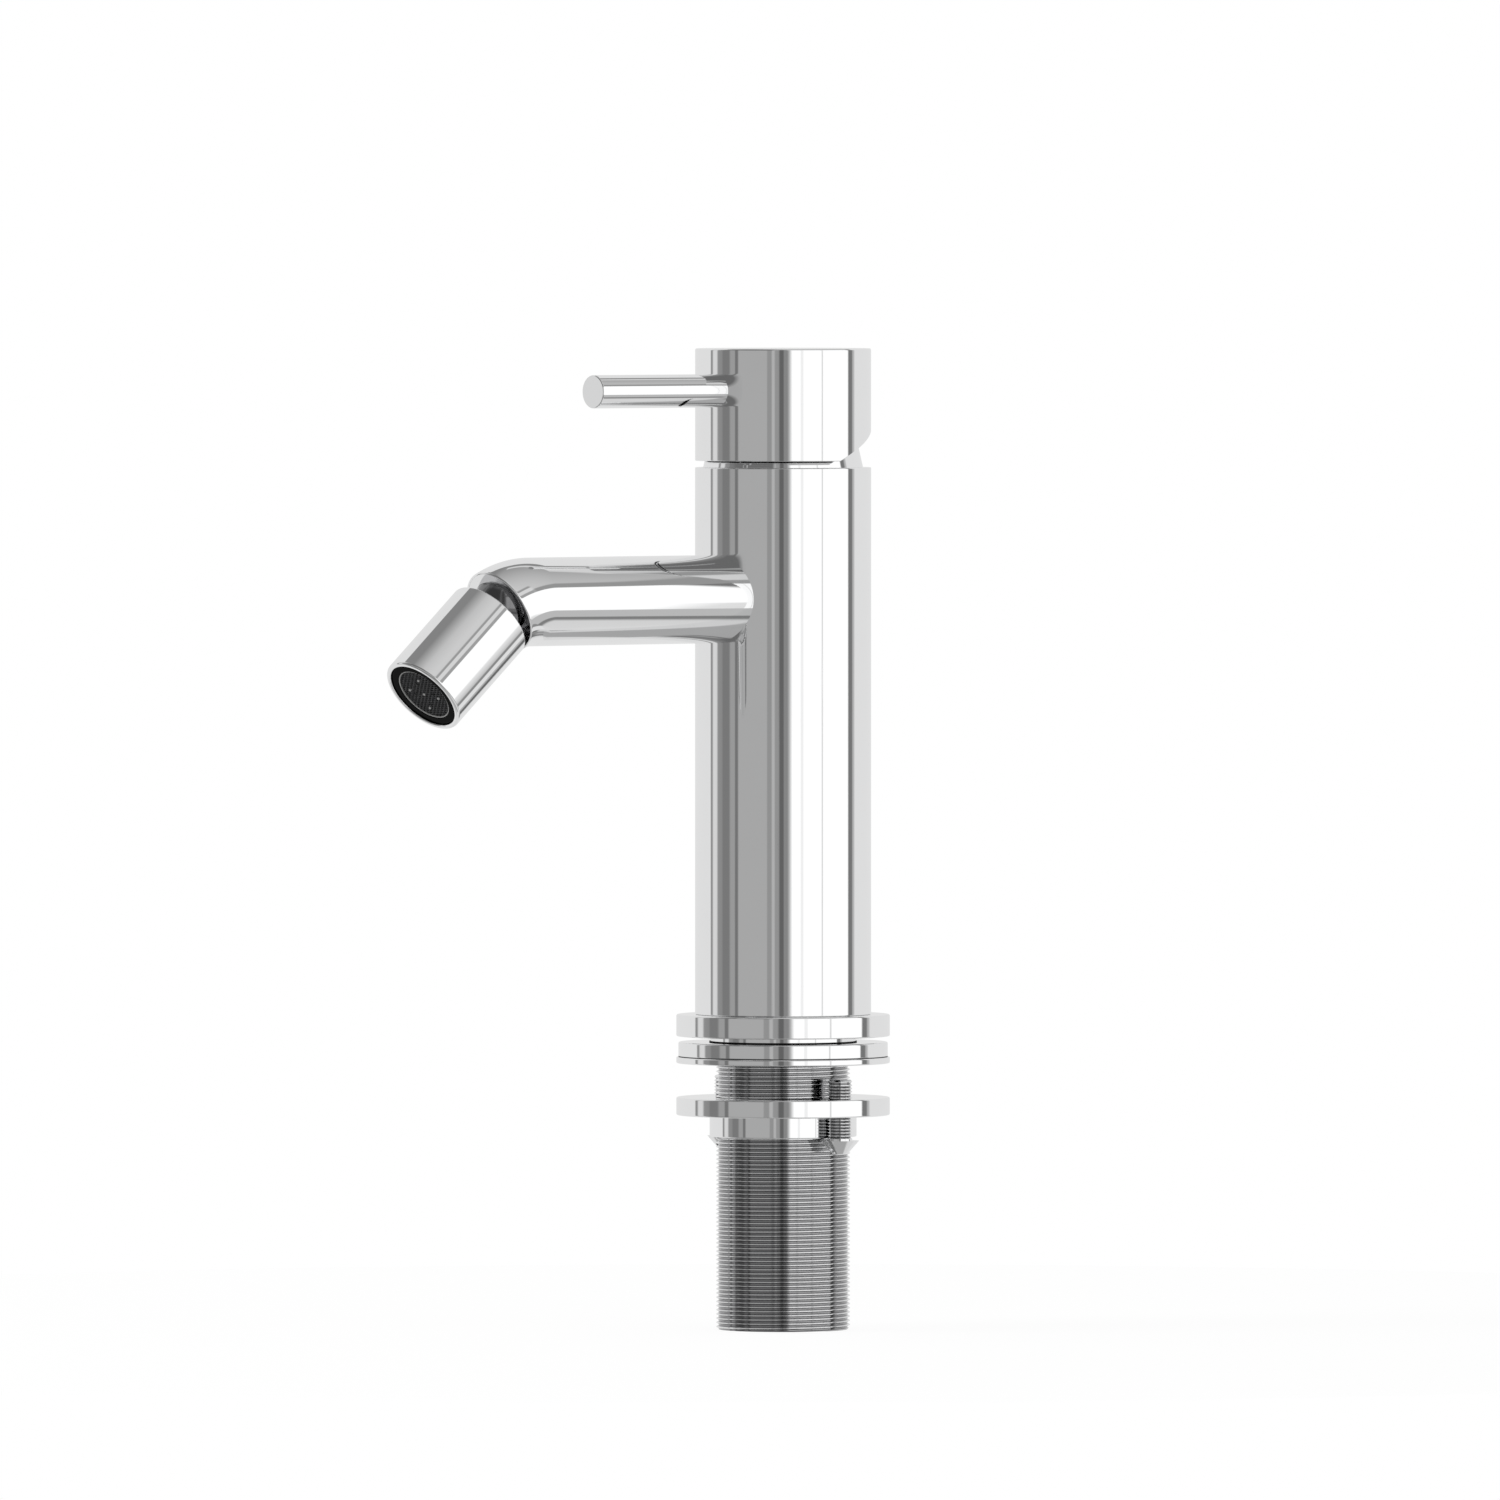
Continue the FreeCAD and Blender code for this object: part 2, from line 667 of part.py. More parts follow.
def make_lever_rod():
    """Thin lever: round rod with a threaded stud that screws into the cap."""
    rod = bar(lever_radius, lever_shoulder, lever_reach, 0, rim_chamfer)
    rod = rod.fuse(slab(lever_stud_radius, grub_far + grub_gap, lever_shoulder + past))
    rod.rotate(Vector(0, 0, 0), X_AXIS, 90)
    rod.translate(Vector(0, 0, lever_height))
    return rod.removeSplitter()


def make_cap_grub_screw():
    """Grub screw behind the lever's stud that grips the spindle."""
    body = slab(lever_stud_radius, grub_near, grub_far)
    corner = grub_socket_across / math.sqrt(3)
    outline = [Vector(corner * math.cos(math.radians(60 * index)),
                      corner * math.sin(math.radians(60 * index)), grub_far - grub_socket_depth)
               for index in range(6)]
    socket = Part.Face(Part.makePolygon(outline + outline[:1]))
    body = body.cut(socket.extrude(Vector(0, 0, grub_socket_depth + past)))
    body.rotate(Vector(0, 0, 0), X_AXIS, 90)
    body.translate(Vector(0, 0, lever_height))
    return body


def make_base_ring():
    """Wide ring on the deck, with a spigot for the deck hole and a groove for its O-ring."""
    plate = bar(base_ring_radius, 0, base_ring_height, rim_chamfer, rim_chamfer)
    plate = plate.fuse(slab(deck_hole_radius - spigot_clearance, -spigot_height, past))
    bore = slab(shank_radius + shank_bore_clearance, -spigot_height - past, base_ring_height + past)
    half = o_ring_section + o_ring_groove_clearance
    groove = ring(o_ring_radius + half, o_ring_radius - half, -past, 2 * o_ring_section)
    return plate.cut([bore, groove]).removeSplitter()


def make_base_o_ring():
    """Rubber O-ring in the base ring's underside, level with the deck."""
    return Part.makeTorus(o_ring_radius, o_ring_section, Vector(0, 0, o_ring_section))


def make_threaded_shank():
    """Hollow screwed shank from inside the barrel down through the deck."""
    top = base_ring_height + shank_insertion
    side = screw_side(shank_radius, shank_pitch, shank_thread_depth,
                      -shank_depth + shank_end_chamfer, -spigot_height)
    outline = [(shank_bore_radius, -shank_depth),
               (shank_radius - shank_end_chamfer, -shank_depth)]
    outline += side
    outline += [(shank_radius, top), (shank_bore_radius, top)]
    return turned(outline)


def make_clamp_ring():
    """Thick loose ring under the deck."""
    low = -spigot_height - clamp_ring_height
    return ring(nut_flange_radius - clamp_ring_inset, shank_radius + clamp_clearance,
                low, -spigot_height, edge_break, edge_break)


def make_clamp_washer():
    """Thinner washer under the clamp ring, which the jack screws press on."""
    high = -spigot_height - clamp_ring_height
    return ring(nut_flange_radius, shank_radius + clamp_clearance,
                high - clamp_washer_height, high, edge_break, edge_break)


def make_lock_nut():
    """Nut on the shank: wide flange with two tapped holes, and a narrow hub."""
    flange_bottom = -nut_top_depth - nut_flange_height
    flange = bar(nut_flange_radius, flange_bottom, -nut_top_depth, edge_break, edge_break)
    hub = bar(nut_hub_radius, nut_bottom, flange_bottom + past, edge_break)
    top = past - nut_top_depth
    cuts = [slab(shank_radius + nut_running_clearance, nut_bottom - past, top)]
    for side in (-1, 1):
        cuts.append(hole((side * screw_circle, 0), screw_radius + screw_clearance,
                         nut_bottom - past, top))
    return flange.fuse(hub).cut(cuts).removeSplitter()


def make_jack_screw(side):
    """Screw through the nut's flange, with a flat-topped cone head below and a slot in it."""
    head_bottom = screw_head_top - screw_head_height
    outline = [(0, head_bottom), (screw_head_end_radius, head_bottom),
               (screw_head_radius, screw_head_top), (screw_radius, screw_head_top)]
    outline += screw_side(screw_radius, screw_pitch, screw_thread_depth,
                          screw_head_top + screw_pitch / 2, screw_tip_height - screw_tip_chamfer)
    outline += [(screw_radius - screw_tip_chamfer, screw_tip_height), (0, screw_tip_height)]
    screw = turned(outline)
    slot = Part.makeBox(screw_slot_width, 4 * screw_head_radius, screw_slot_depth + past,
                        Vector(-screw_slot_width / 2, -2 * screw_head_radius, head_bottom - past))
    screw = screw.cut(slot)
    screw.translate(Vector(side * screw_circle, 0, 0))
    return screw


makers = {
    "body_barrel": make_body_barrel,
    "spout_pipe": make_spout_pipe,
    "socket_ring": make_socket_ring,
    "base_ring": make_base_ring,
    "base_o_ring": make_base_o_ring,
    "threaded_shank": make_threaded_shank,
    "cartridge_base": make_cartridge_base,
    "port_seals": make_port_seals,
    "lower_ceramic_disc": make_lower_ceramic_disc,
    "cartridge_housing": make_cartridge_housing,
    "cartridge_nut": make_cartridge_nut,
    "dome_ring": make_dome_ring,
    "cartridge_carrier": make_cartridge_carrier,
    "spindle_pin": make_spindle_pin,
    "cartridge_spindle": make_cartridge_spindle,
    "handle_cap": make_handle_cap,
    "lever_rod": make_lever_rod,
    "cap_grub_screw": make_cap_grub_screw,
    "upper_ceramic_disc": make_upper_ceramic_disc,
    "disc_holder": make_disc_holder,
    "ball_cup": make_ball_cup,
    "swivel_ball": make_swivel_ball,
    "head_sleeve": make_head_sleeve,
    "aerator_seal": make_aerator_seal,
    "aerator_cage": make_aerator_cage,
    "aerator_insert": make_aerator_insert,
    "aerator_mesh": make_aerator_mesh,
    "clamp_ring": make_clamp_ring,
    "clamp_washer": make_clamp_washer,
    "lock_nut": make_lock_nut,
    "jack_screw_left": lambda: make_jack_screw(-1),
    "jack_screw_right": lambda: make_jack_screw(1),
}

os.makedirs("parts", exist_ok=True)
for node, maker in makers.items():
    shape = maker()
    if not shape.isValid() or not shape.Solids:
        raise ValueError(f"{node} isn't a valid solid")
    shape.exportStep(f"parts/{node}.step")
    print(node, len(shape.Solids), round(shape.Volume, 1))
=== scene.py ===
import json
import math

import bmesh
import bpy
import numpy as np
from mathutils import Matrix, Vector

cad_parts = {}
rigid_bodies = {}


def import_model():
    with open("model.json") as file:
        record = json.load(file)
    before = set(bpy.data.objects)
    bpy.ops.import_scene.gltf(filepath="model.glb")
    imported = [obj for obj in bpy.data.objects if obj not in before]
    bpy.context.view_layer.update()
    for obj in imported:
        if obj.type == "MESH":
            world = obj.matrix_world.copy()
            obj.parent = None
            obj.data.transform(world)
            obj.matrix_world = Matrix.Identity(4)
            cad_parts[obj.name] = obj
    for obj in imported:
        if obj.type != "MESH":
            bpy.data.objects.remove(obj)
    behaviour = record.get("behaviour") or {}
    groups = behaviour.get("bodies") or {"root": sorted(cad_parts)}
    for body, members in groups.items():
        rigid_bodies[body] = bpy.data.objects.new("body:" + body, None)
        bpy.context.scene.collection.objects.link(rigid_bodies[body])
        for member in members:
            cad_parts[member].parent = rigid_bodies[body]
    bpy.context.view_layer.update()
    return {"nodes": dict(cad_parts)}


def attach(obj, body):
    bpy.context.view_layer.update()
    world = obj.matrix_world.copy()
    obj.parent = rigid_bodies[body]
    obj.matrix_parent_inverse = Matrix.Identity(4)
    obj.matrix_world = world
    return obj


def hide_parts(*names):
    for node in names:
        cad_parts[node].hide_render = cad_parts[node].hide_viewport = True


for spare in list(bpy.data.objects):
    bpy.data.objects.remove(spare)
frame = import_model()
nodes = frame["nodes"]


# Body barrel
# The upright barrel is brass, turned and bored for the cartridge and the water ways. Its
# outside is ground, polished and chrome plated: the shell below is that plated skin, and
# the bored brass inside it is the frame's own part.

def rounded(corners, radii, closed=True, steps=5):
    """Outline with its corners rounded. An arc of radius r touches both sides of a corner
    at r / tan(half the corner's angle) from it, about a centre on the corner's bisector at
    r / sin(half), and its points turn evenly from one touching point to the other. The two
    ends of an open outline stay as they are."""
    corners = np.asarray(corners, float)
    radii = np.array(np.broadcast_to(radii, len(corners)), float)
    if not closed:
        radii[[0, -1]] = 0
    back = np.roll(corners, 1, 0) - corners
    ahead = np.roll(corners, -1, 0) - corners
    back /= np.linalg.norm(back, axis=1)[:, None]
    ahead /= np.linalg.norm(ahead, axis=1)[:, None]
    half = np.arccos(np.clip((back * ahead).sum(1), -1, 1)) / 2
    bisector = back + ahead
    length = np.linalg.norm(bisector, axis=1)[:, None]
    bisector = np.divide(bisector, length, out=np.zeros_like(bisector), where=length > 1e-9)
    centre = corners + bisector * (radii / np.sin(half))[:, None]
    first = corners + back * (radii / np.tan(half))[:, None] - centre
    last = corners + ahead * (radii / np.tan(half))[:, None] - centre
    turn = (np.pi - 2 * half)[:, None, None]
    share = np.linspace(0, 1, steps + 1)[None, :, None]
    whole = np.where(np.sin(turn) < 1e-6, 1, np.sin(turn))
    arcs = centre[:, None] + (np.sin((1 - share) * turn) * first[:, None]
                              + np.sin(share * turn) * last[:, None]) / whole
    kept = np.ones((len(corners), steps + 1), bool)
    kept[radii == 0, 1:] = False
    arcs[radii == 0, 0] = corners[radii == 0]
    return arcs[kept]


def turned(outline, columns=256):
    """Turned shape: each outline point (r, z) goes round the axis as
    (r cos angle, r sin angle, z), one grid row for each point."""
    outline = np.asarray(outline, float)
    angle = np.linspace(0, 2 * np.pi, columns, endpoint=False)
    r, z = outline[:, :1], outline[:, 1:]
    return np.stack([r * np.cos(angle), r * np.sin(angle), z + 0 * angle], -1)


def surface(name, grid, rows_meet=True, columns_meet=True, crease=None):
    """Mesh over a grid of points in millimetres: each cell is one face between its row and
    the next, its column and the next. Points in one place become one, and faces point out.
    Each point's normal is the sum of its faces' normals times their areas, so a wide face
    stays even and a rim turns within its own width. With a crease angle, edges that turn
    by more are left sharp instead."""
    rows, columns = grid.shape[:2]
    i, j = np.meshgrid(np.arange(rows if rows_meet else rows - 1),
                       np.arange(columns if columns_meet else columns - 1), indexing="ij")
    after_i, after_j = (i + 1) % rows, (j + 1) % columns
    quads = np.stack([i * columns + j, i * columns + after_j,
                      after_i * columns + after_j, after_i * columns + j], -1).reshape(-1, 4)
    return mesh_piece(name, grid.reshape(-1, 3), quads, crease)


def mesh_piece(name, points, quads, crease=None):
    """One object from points in millimetres and four-cornered faces, closed up and shaded
    as surface() says."""
    mesh = bpy.data.meshes.new(name)
    mesh.vertices.add(len(points))
    mesh.vertices.foreach_set("co", (points / 1000).ravel())
    mesh.loops.add(quads.size)
    mesh.loops.foreach_set("vertex_index", quads.ravel().astype(np.int32))
    mesh.polygons.add(len(quads))
    mesh.polygons.foreach_set("loop_start", np.arange(0, quads.size, 4, dtype=np.int32))
    mesh.update(calc_edges=True)
    work = bmesh.new()
    work.from_mesh(mesh)
    bmesh.ops.remove_doubles(work, verts=work.verts, dist=1e-6)
    bmesh.ops.dissolve_degenerate(work, edges=work.edges, dist=1e-7)
    bmesh.ops.recalc_face_normals(work, faces=work.faces)
    work.to_mesh(mesh)
    work.free()
    count = len(mesh.polygons)
    mesh.polygons.foreach_set("use_smooth", np.ones(count, bool))
    if crease is not None:
        mesh.set_sharp_from_angle(angle=math.radians(crease))
    else:
        normal, area = np.empty(count * 3), np.empty(count)
        sides, corner = np.empty(count, np.int32), np.empty(len(mesh.loops), np.int32)
        mesh.polygons.foreach_get("normal", normal)
        mesh.polygons.foreach_get("area", area)
        mesh.polygons.foreach_get("loop_total", sides)
        mesh.loops.foreach_get("vertex_index", corner)
        total = np.zeros((len(mesh.vertices), 3))
        np.add.at(total, corner, np.repeat(normal.reshape(-1, 3) * area[:, None], sides, 0))
        total /= np.maximum(np.linalg.norm(total, axis=1), 1e-12)[:, None]
        mesh.normals_split_custom_set_from_vertices(total)
    piece = bpy.data.objects.new(name, mesh)
    bpy.context.scene.collection.objects.link(piece)
    return piece


def finish(name, colour, metallic=0.0, smooth=0.2, dull=0.3, patch=12.0, grain=0.4,
           height=0.001, deeper=0.94, hairlines=0.0, marks=None, shine=0.5):
    """Material of one finish, sizes in millimetres. Roughness runs between smooth and dull
    in soft patches, the colour is a little deeper in them, the bump is a fine grain of the
    height given, hairlines adds the wiping scratches of a plated part, marks adds a tool's
    turning lines, 2 pi times marks apart along the axis, and shine is the strength of the
    mirror layer on a piece that isn't metal."""
    material = bpy.data.materials.new(name)
    material.use_nodes = True
    tree = material.node_tree
    shader = tree.nodes["Principled BSDF"]
    shader.inputs["Metallic"].default_value = metallic
    shader.inputs["Specular IOR Level"].default_value = shine

    def node(kind, **inputs):
        """New node of a kind, with constants on the sockets that inputs names."""
        made = tree.nodes.new(kind)
        for key, value in inputs.items():
            made.inputs[key.replace("_", " ")].default_value = value
        return made

    def link(source, target):
        """Wire from an output socket to an input socket."""
        tree.links.new(source, target)

    place = node("ShaderNodeTexCoord").outputs["Object"]
    patches = node("ShaderNodeTexNoise", Scale=1000 / patch, Detail=3.0, Roughness=0.55)
    link(place, patches.inputs["Vector"])
    spread = node("ShaderNodeMapRange", From_Min=0.35, From_Max=0.68, To_Min=smooth, To_Max=dull)
    link(patches.outputs["Fac"], spread.inputs["Value"])
    rough = spread.outputs["Result"]
    if hairlines:
        turn = node("ShaderNodeMapping")
        turn.inputs["Rotation"].default_value = (0.5, 0.3, 0.9)
        turn.inputs["Scale"].default_value = (2600, 2600, 60)
        link(place, turn.inputs["Vector"])
        lines = node("ShaderNodeTexNoise", Scale=1.0, Detail=1.0)
        link(turn.outputs["Vector"], lines.inputs["Vector"])
        picked = node("ShaderNodeMapRange", From_Min=0.66, From_Max=0.76, To_Min=0.0,
                      To_Max=hairlines)
        link(lines.outputs["Fac"], picked.inputs["Value"])
        both = tree.nodes.new("ShaderNodeMath")
        both.operation = "ADD"
        link(rough, both.inputs[0])
        link(picked.outputs["Result"], both.inputs[1])
        rough = both.outputs["Value"]
    link(rough, shader.inputs["Roughness"])
    tint = tree.nodes.new("ShaderNodeMix")
    tint.data_type = "RGBA"
    tint.inputs["A"].default_value = (*colour, 1)
    tint.inputs["B"].default_value = (*(c * deeper for c in colour), 1)
    link(patches.outputs["Fac"], tint.inputs["Factor"])
    link(tint.outputs["Result"], shader.inputs["Base Color"])
    fine = node("ShaderNodeTexNoise", Scale=1000 / grain, Detail=2.0)
    link(place, fine.inputs["Vector"])
    raised = fine.outputs["Fac"]
    if marks:
        rings = node("ShaderNodeTexWave", Scale=1000 / marks / 20, Distortion=0.4)
        rings.bands_direction = "Z"
        link(place, rings.inputs["Vector"])
        mixed = tree.nodes.new("ShaderNodeMath")
        mixed.operation = "ADD"
        link(raised, mixed.inputs[0])
        link(rings.outputs["Fac"], mixed.inputs[1])
        raised = mixed.outputs["Value"]
    bump = node("ShaderNodeBump", Strength=1.0, Distance=height / 1000)
    link(raised, bump.inputs["Height"])
    link(bump.outputs["Normal"], shader.inputs["Normal"])
    return material


chrome = finish("polished_chrome", (0.94, 0.942, 0.945), metallic=1.0, smooth=0.015, dull=0.055,
                patch=14.0, grain=0.5, height=0.0001, deeper=0.975, hairlines=0.05)
brass = finish("bored_brass", (0.79, 0.58, 0.31), metallic=1.0, smooth=0.22, dull=0.38, patch=9.0,
               grain=0.3, height=0.002, deeper=0.9, marks=0.35)

skin_radius, skin_bore = 21.02, 20.2
barrel_foot, barrel_top = 5.2, 135.82
mouth_radius, mouth_floor = 17.7, 134.9
barrel_skin = surface("barrel_skin", turned(rounded(
    [(skin_radius, barrel_foot), (skin_radius, barrel_top), (mouth_radius, barrel_top),
     (mouth_radius, mouth_floor), (skin_bore, mouth_floor), (skin_bore, barrel_foot)],
    [0.25, 0.25, 0.05, 0.05, 0.1, 0.05])))
barrel_skin.data.materials.append(chrome)
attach(barrel_skin, "body")
nodes["body_barrel"].material_slots[0].material = brass


# Base ring and its seal
# Wide flat foot under the barrel: turned brass, chrome plated. Its short spigot centres the
# tap in the deck hole and has a thin rubber band at its foot. A rubber ring in the groove
# keeps water off the deck.

foot_radius, foot_bore = 25.5, 16.05
groove_outer, groove_inner, groove_roof = 22.8, 20.2, 2.0
spigot_radius, spigot_end = 17.4, -1.4
base_foot = surface("base_foot", turned(rounded(
    [(foot_radius, barrel_foot), (foot_radius, 0), (groove_outer, 0), (groove_outer, groove_roof),
     (groove_inner, groove_roof), (groove_inner, 0), (spigot_radius, 0),
     (spigot_radius, spigot_end), (foot_bore, spigot_end), (foot_bore, barrel_foot)],
    [0.4, 0.3, 0.1, 0.1, 0.1, 0.1, 0.1, 0.15, 0.1, 0.1])))
base_foot.data.materials.append(chrome)
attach(base_foot, "body")
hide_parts("base_ring")

rubber = finish("black_rubber", (0.022, 0.022, 0.023), smooth=0.5, dull=0.68, patch=5.0,
                grain=0.15, height=0.006, deeper=0.7)
nodes["base_o_ring"].material_slots[0].material = rubber


def washer(inner, outer, low, high, edges):
    """Flat ring with a rounded box for its section: inner to outer radius, low to high along
    the axis. Edges is the radius of its four corners, or one for each, outer ones first."""
    return turned(rounded([(outer, low), (outer, high), (inner, high), (inner, low)], edges))


band_bore, band_radius = 17.3, 17.65
band_low, band_high = -1.38, -1.14
spigot_band = surface("spigot_band", washer(band_bore, band_radius, band_low, band_high, 0.05))
spigot_band.data.materials.append(rubber)
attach(spigot_band, "body")


# Spout
# Straight brass tube, bent down at its end, chrome plated and fixed into the barrel's side.
# Its end face is turned flat, and bored inside for the swivel ball and its ring.

spout_radius, spout_height, spout_straight = 10.5, 104.58, 79.2
bend_radius, bend_angle = 20.5, 27.2
fall = math.radians(bend_angle)


def carried(profile, start):
    """Round profile carried along the spout's line: each (s, r) is a ring of radius r at s
    from the start, first along a straight run to the front, then round an arc. The ring
    stands square to the line, which has turned by (s past the straight run) / bend_radius."""
    s, r = np.asarray(profile, float).T
    run = spout_straight + start
    turn = np.clip((s - run) / bend_radius, 0, fall)[:, None]
    forward = np.minimum(s, run)[:, None] - start + bend_radius * np.sin(turn)
    down = bend_radius * (1 - np.cos(turn))
    angle = np.linspace(0, 2 * np.pi, 256, endpoint=False)
    r = r[:, None]
    return np.stack([r * np.cos(angle), -forward - r * np.sin(angle) * np.sin(turn),
                     spout_height - down + r * np.sin(angle) * np.cos(turn)], -1)


def leaned(grid, angle, centre):
    """Turns an upright shape so that its axis points to the front and angle degrees down,
    and moves its origin to the centre: y' = -y sin - z cos, z' = y cos - z sin."""
    sine, cosine = math.sin(math.radians(angle)), math.cos(math.radians(angle))
    x, y, z = np.moveaxis(grid, -1, 0)
    return np.stack([x, -y * sine - z * cosine, y * cosine - z * sine], -1) + centre


spout_start = -17.9
spout_length = spout_straight + spout_start + bend_radius * fall
rim_edge, ring_bore = 0.4, 9.1
seat_radius, seat_mouth, seat_back = 8.3, 8.278, -0.6
ball_centre = np.array([0, -86.9715, 104.2393])
spout_end = np.array([0, -spout_straight - bend_radius * math.sin(fall),
                      spout_height - bend_radius * (1 - math.cos(fall))])
# How far the flat end face stands before the ball's centre, along the tube's end.
face = float((spout_end - ball_centre) @ [0, -math.cos(fall), -math.sin(fall)])
bend_share = np.linspace(0, 1, 25)[:-2]
rim_turn = np.linspace(0, np.pi / 2, 6)
rim_flat = spout_radius - rim_edge
spout_rows = np.concatenate([
    [(0, 0), (0, spout_radius)],
    np.stack([spout_straight + spout_start + bend_share * bend_radius * fall,
              spout_radius + 0 * bend_share], -1),
    np.stack([spout_length - rim_edge + rim_edge * np.sin(rim_turn),
              rim_flat + rim_edge * np.cos(rim_turn)], -1)])
socket_turn = np.linspace(math.asin(-seat_back / seat_radius), np.pi / 2, 20)
socket_rows = np.concatenate([
    rounded([(rim_flat, face), (ring_bore, face), (ring_bore, seat_back),
             (seat_mouth, seat_back)], [0, 0.02, 0.1, 0], closed=False)[1:-1],
    np.stack([seat_radius * np.cos(socket_turn), -seat_radius * np.sin(socket_turn)], -1)])
spout_tube = surface("spout_tube", np.concatenate([
    carried(spout_rows, spout_start), leaned(turned(socket_rows), bend_angle, ball_centre)]),
    rows_meet=False)
spout_tube.data.materials.append(chrome)
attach(spout_tube, "body")
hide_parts("spout_pipe")


# Ball joint
# A hollow brass ball, black nickel plated, carries the swivel head on its neck. A chrome
# ring that is screwed into the spout's end holds it in, against a white acetal cup that
# gives it friction.

ring_outer, ring_hold, ring_lip, ring_step = ring_bore - 0.01, 7.25, 7.1, 0.9
ring_back = np.linspace(math.asin(seat_back / seat_radius), math.asin(ring_step / seat_radius), 6)
ring_front = np.linspace(math.asin(ring_step / ring_hold), math.asin(face / ring_hold), 8)
holding_ring = surface("holding_ring", leaned(turned(np.concatenate([
    rounded([(seat_mouth, seat_back), (ring_outer, seat_back), (ring_outer, face),
             (ring_lip, face)], [0, 0.1, 0.02, 0], closed=False)[:-1],
    np.stack([ring_hold * np.cos(ring_front), ring_hold * np.sin(ring_front)], -1)[::-1],
    np.stack([seat_radius * np.cos(ring_back), seat_radius * np.sin(ring_back)], -1)[::-1]])),
    bend_angle, ball_centre))
holding_ring.data.materials.append(chrome)
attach(holding_ring, "body")
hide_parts("socket_ring")

head_angle = 40.7
ball_radius, ball_back, ball_bore = 7.2, -6.2, 3.0
collar_radius, collar_start, collar_end = 5.2, 5.0, 5.9
neck_radius, neck_end = 4.4, 9.3
ball_turn = np.linspace(math.asin(ball_back / ball_radius),
                        math.acos(collar_radius / ball_radius), 40)
ball_outline = np.concatenate([
    np.stack([ball_radius * np.cos(ball_turn), ball_radius * np.sin(ball_turn)], -1),
    rounded([(collar_radius, collar_start), (collar_radius, collar_end),
             (neck_radius, collar_end), (neck_radius, neck_end), (ball_bore, neck_end),
             (ball_bore, ball_back)], [0, 0.05, 0.05, 0.1, 0.1, 0], closed=False)])
hollow_ball = surface("hollow_ball", leaned(turned(ball_outline, columns=160),
                                            head_angle, ball_centre))
dark_nickel = finish("dark_nickel", (0.23, 0.23, 0.235), metallic=1.0, smooth=0.12, dull=0.18,
                     patch=6.0, grain=0.15, height=0.0005, deeper=0.85)
hollow_ball.data.materials.append(dark_nickel)
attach(hollow_ball, "swivel_head")
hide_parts("swivel_ball")

acetal = finish("white_acetal", (0.80, 0.80, 0.78), smooth=0.32, dull=0.46, patch=6.0, grain=0.2,
                height=0.004, deeper=0.93)
nodes["ball_cup"].material_slots[0].material = acetal


# Swivel head
# Short turned brass sleeve of the spout's own width, chrome plated, with a satin upper face.
# It is screwed on the ball's neck, and its open end has a thin rounded lip round the
# aerator.

head_radius, head_start, head_end = spout_radius, 5.8, 33.1
cage_bore, cage_floor = 9.25, 24.6
water_bore, neck_bore = 7.0, 4.45
head_sleeve = surface("head_tube", leaned(turned(rounded(
    [(head_radius, head_start), (head_radius, head_end), (cage_bore, head_end),
     (cage_bore, cage_floor), (water_bore, cage_floor), (water_bore, neck_end),
     (neck_bore, neck_end), (neck_bore, head_start)],
    [0.4, 0.64, 0.3, 0.1, 0.1, 0.1, 0.1, 0.1])), head_angle, ball_centre))
head_sleeve.data.materials.append(chrome)
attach(head_sleeve, "swivel_head")
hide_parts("head_sleeve")

satin_chrome = finish("satin_chrome", (0.66, 0.66, 0.67), metallic=1.0, smooth=0.14, dull=0.2,
                      patch=6.0, grain=0.15, height=0.0004, deeper=0.9)
shoulder_bore, shoulder_radius = 5.25, 10.12
head_shoulder = surface("head_shoulder", leaned(
    washer(shoulder_bore, shoulder_radius, head_start - 0.02, head_start + 0.15, 0.015),
    head_angle, ball_centre))
head_shoulder.data.materials.append(satin_chrome)
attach(head_shoulder, "swivel_head")


# Aerator
# Moulded black cage that is pushed into the head on a rubber seal. A woven steel screen
# closes it, held by a thin ring, and the ends of the insert's five pins show through it.

glossy_black = finish("black_plastic_gloss", (0.002, 0.002, 0.002), smooth=0.1, dull=0.2,
                      patch=4.0, grain=0.25, height=0.002, deeper=0.8, shine=0.02)
nodes["aerator_seal"].material_slots[0].material = rubber
nodes["aerator_insert"].material_slots[0].material = glossy_black

cage_radius, cage_start, cage_end = 9.2, 26.1, 32.6
cage_mouth, cage_lip, cage_inside = 7.3, 32.3, 7.4
black_cage = surface("black_cage", leaned(turned(rounded(
    [(cage_radius, cage_start), (cage_radius, cage_end), (cage_mouth, cage_end),
     (cage_mouth, cage_lip), (cage_inside, cage_lip), (cage_inside, cage_start)],
    [0.1, 0.45, 0.12, 0, 0, 0.1])), head_angle, ball_centre))
black_cage.data.materials.append(glossy_black)
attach(black_cage, "swivel_head")
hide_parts("aerator_cage")


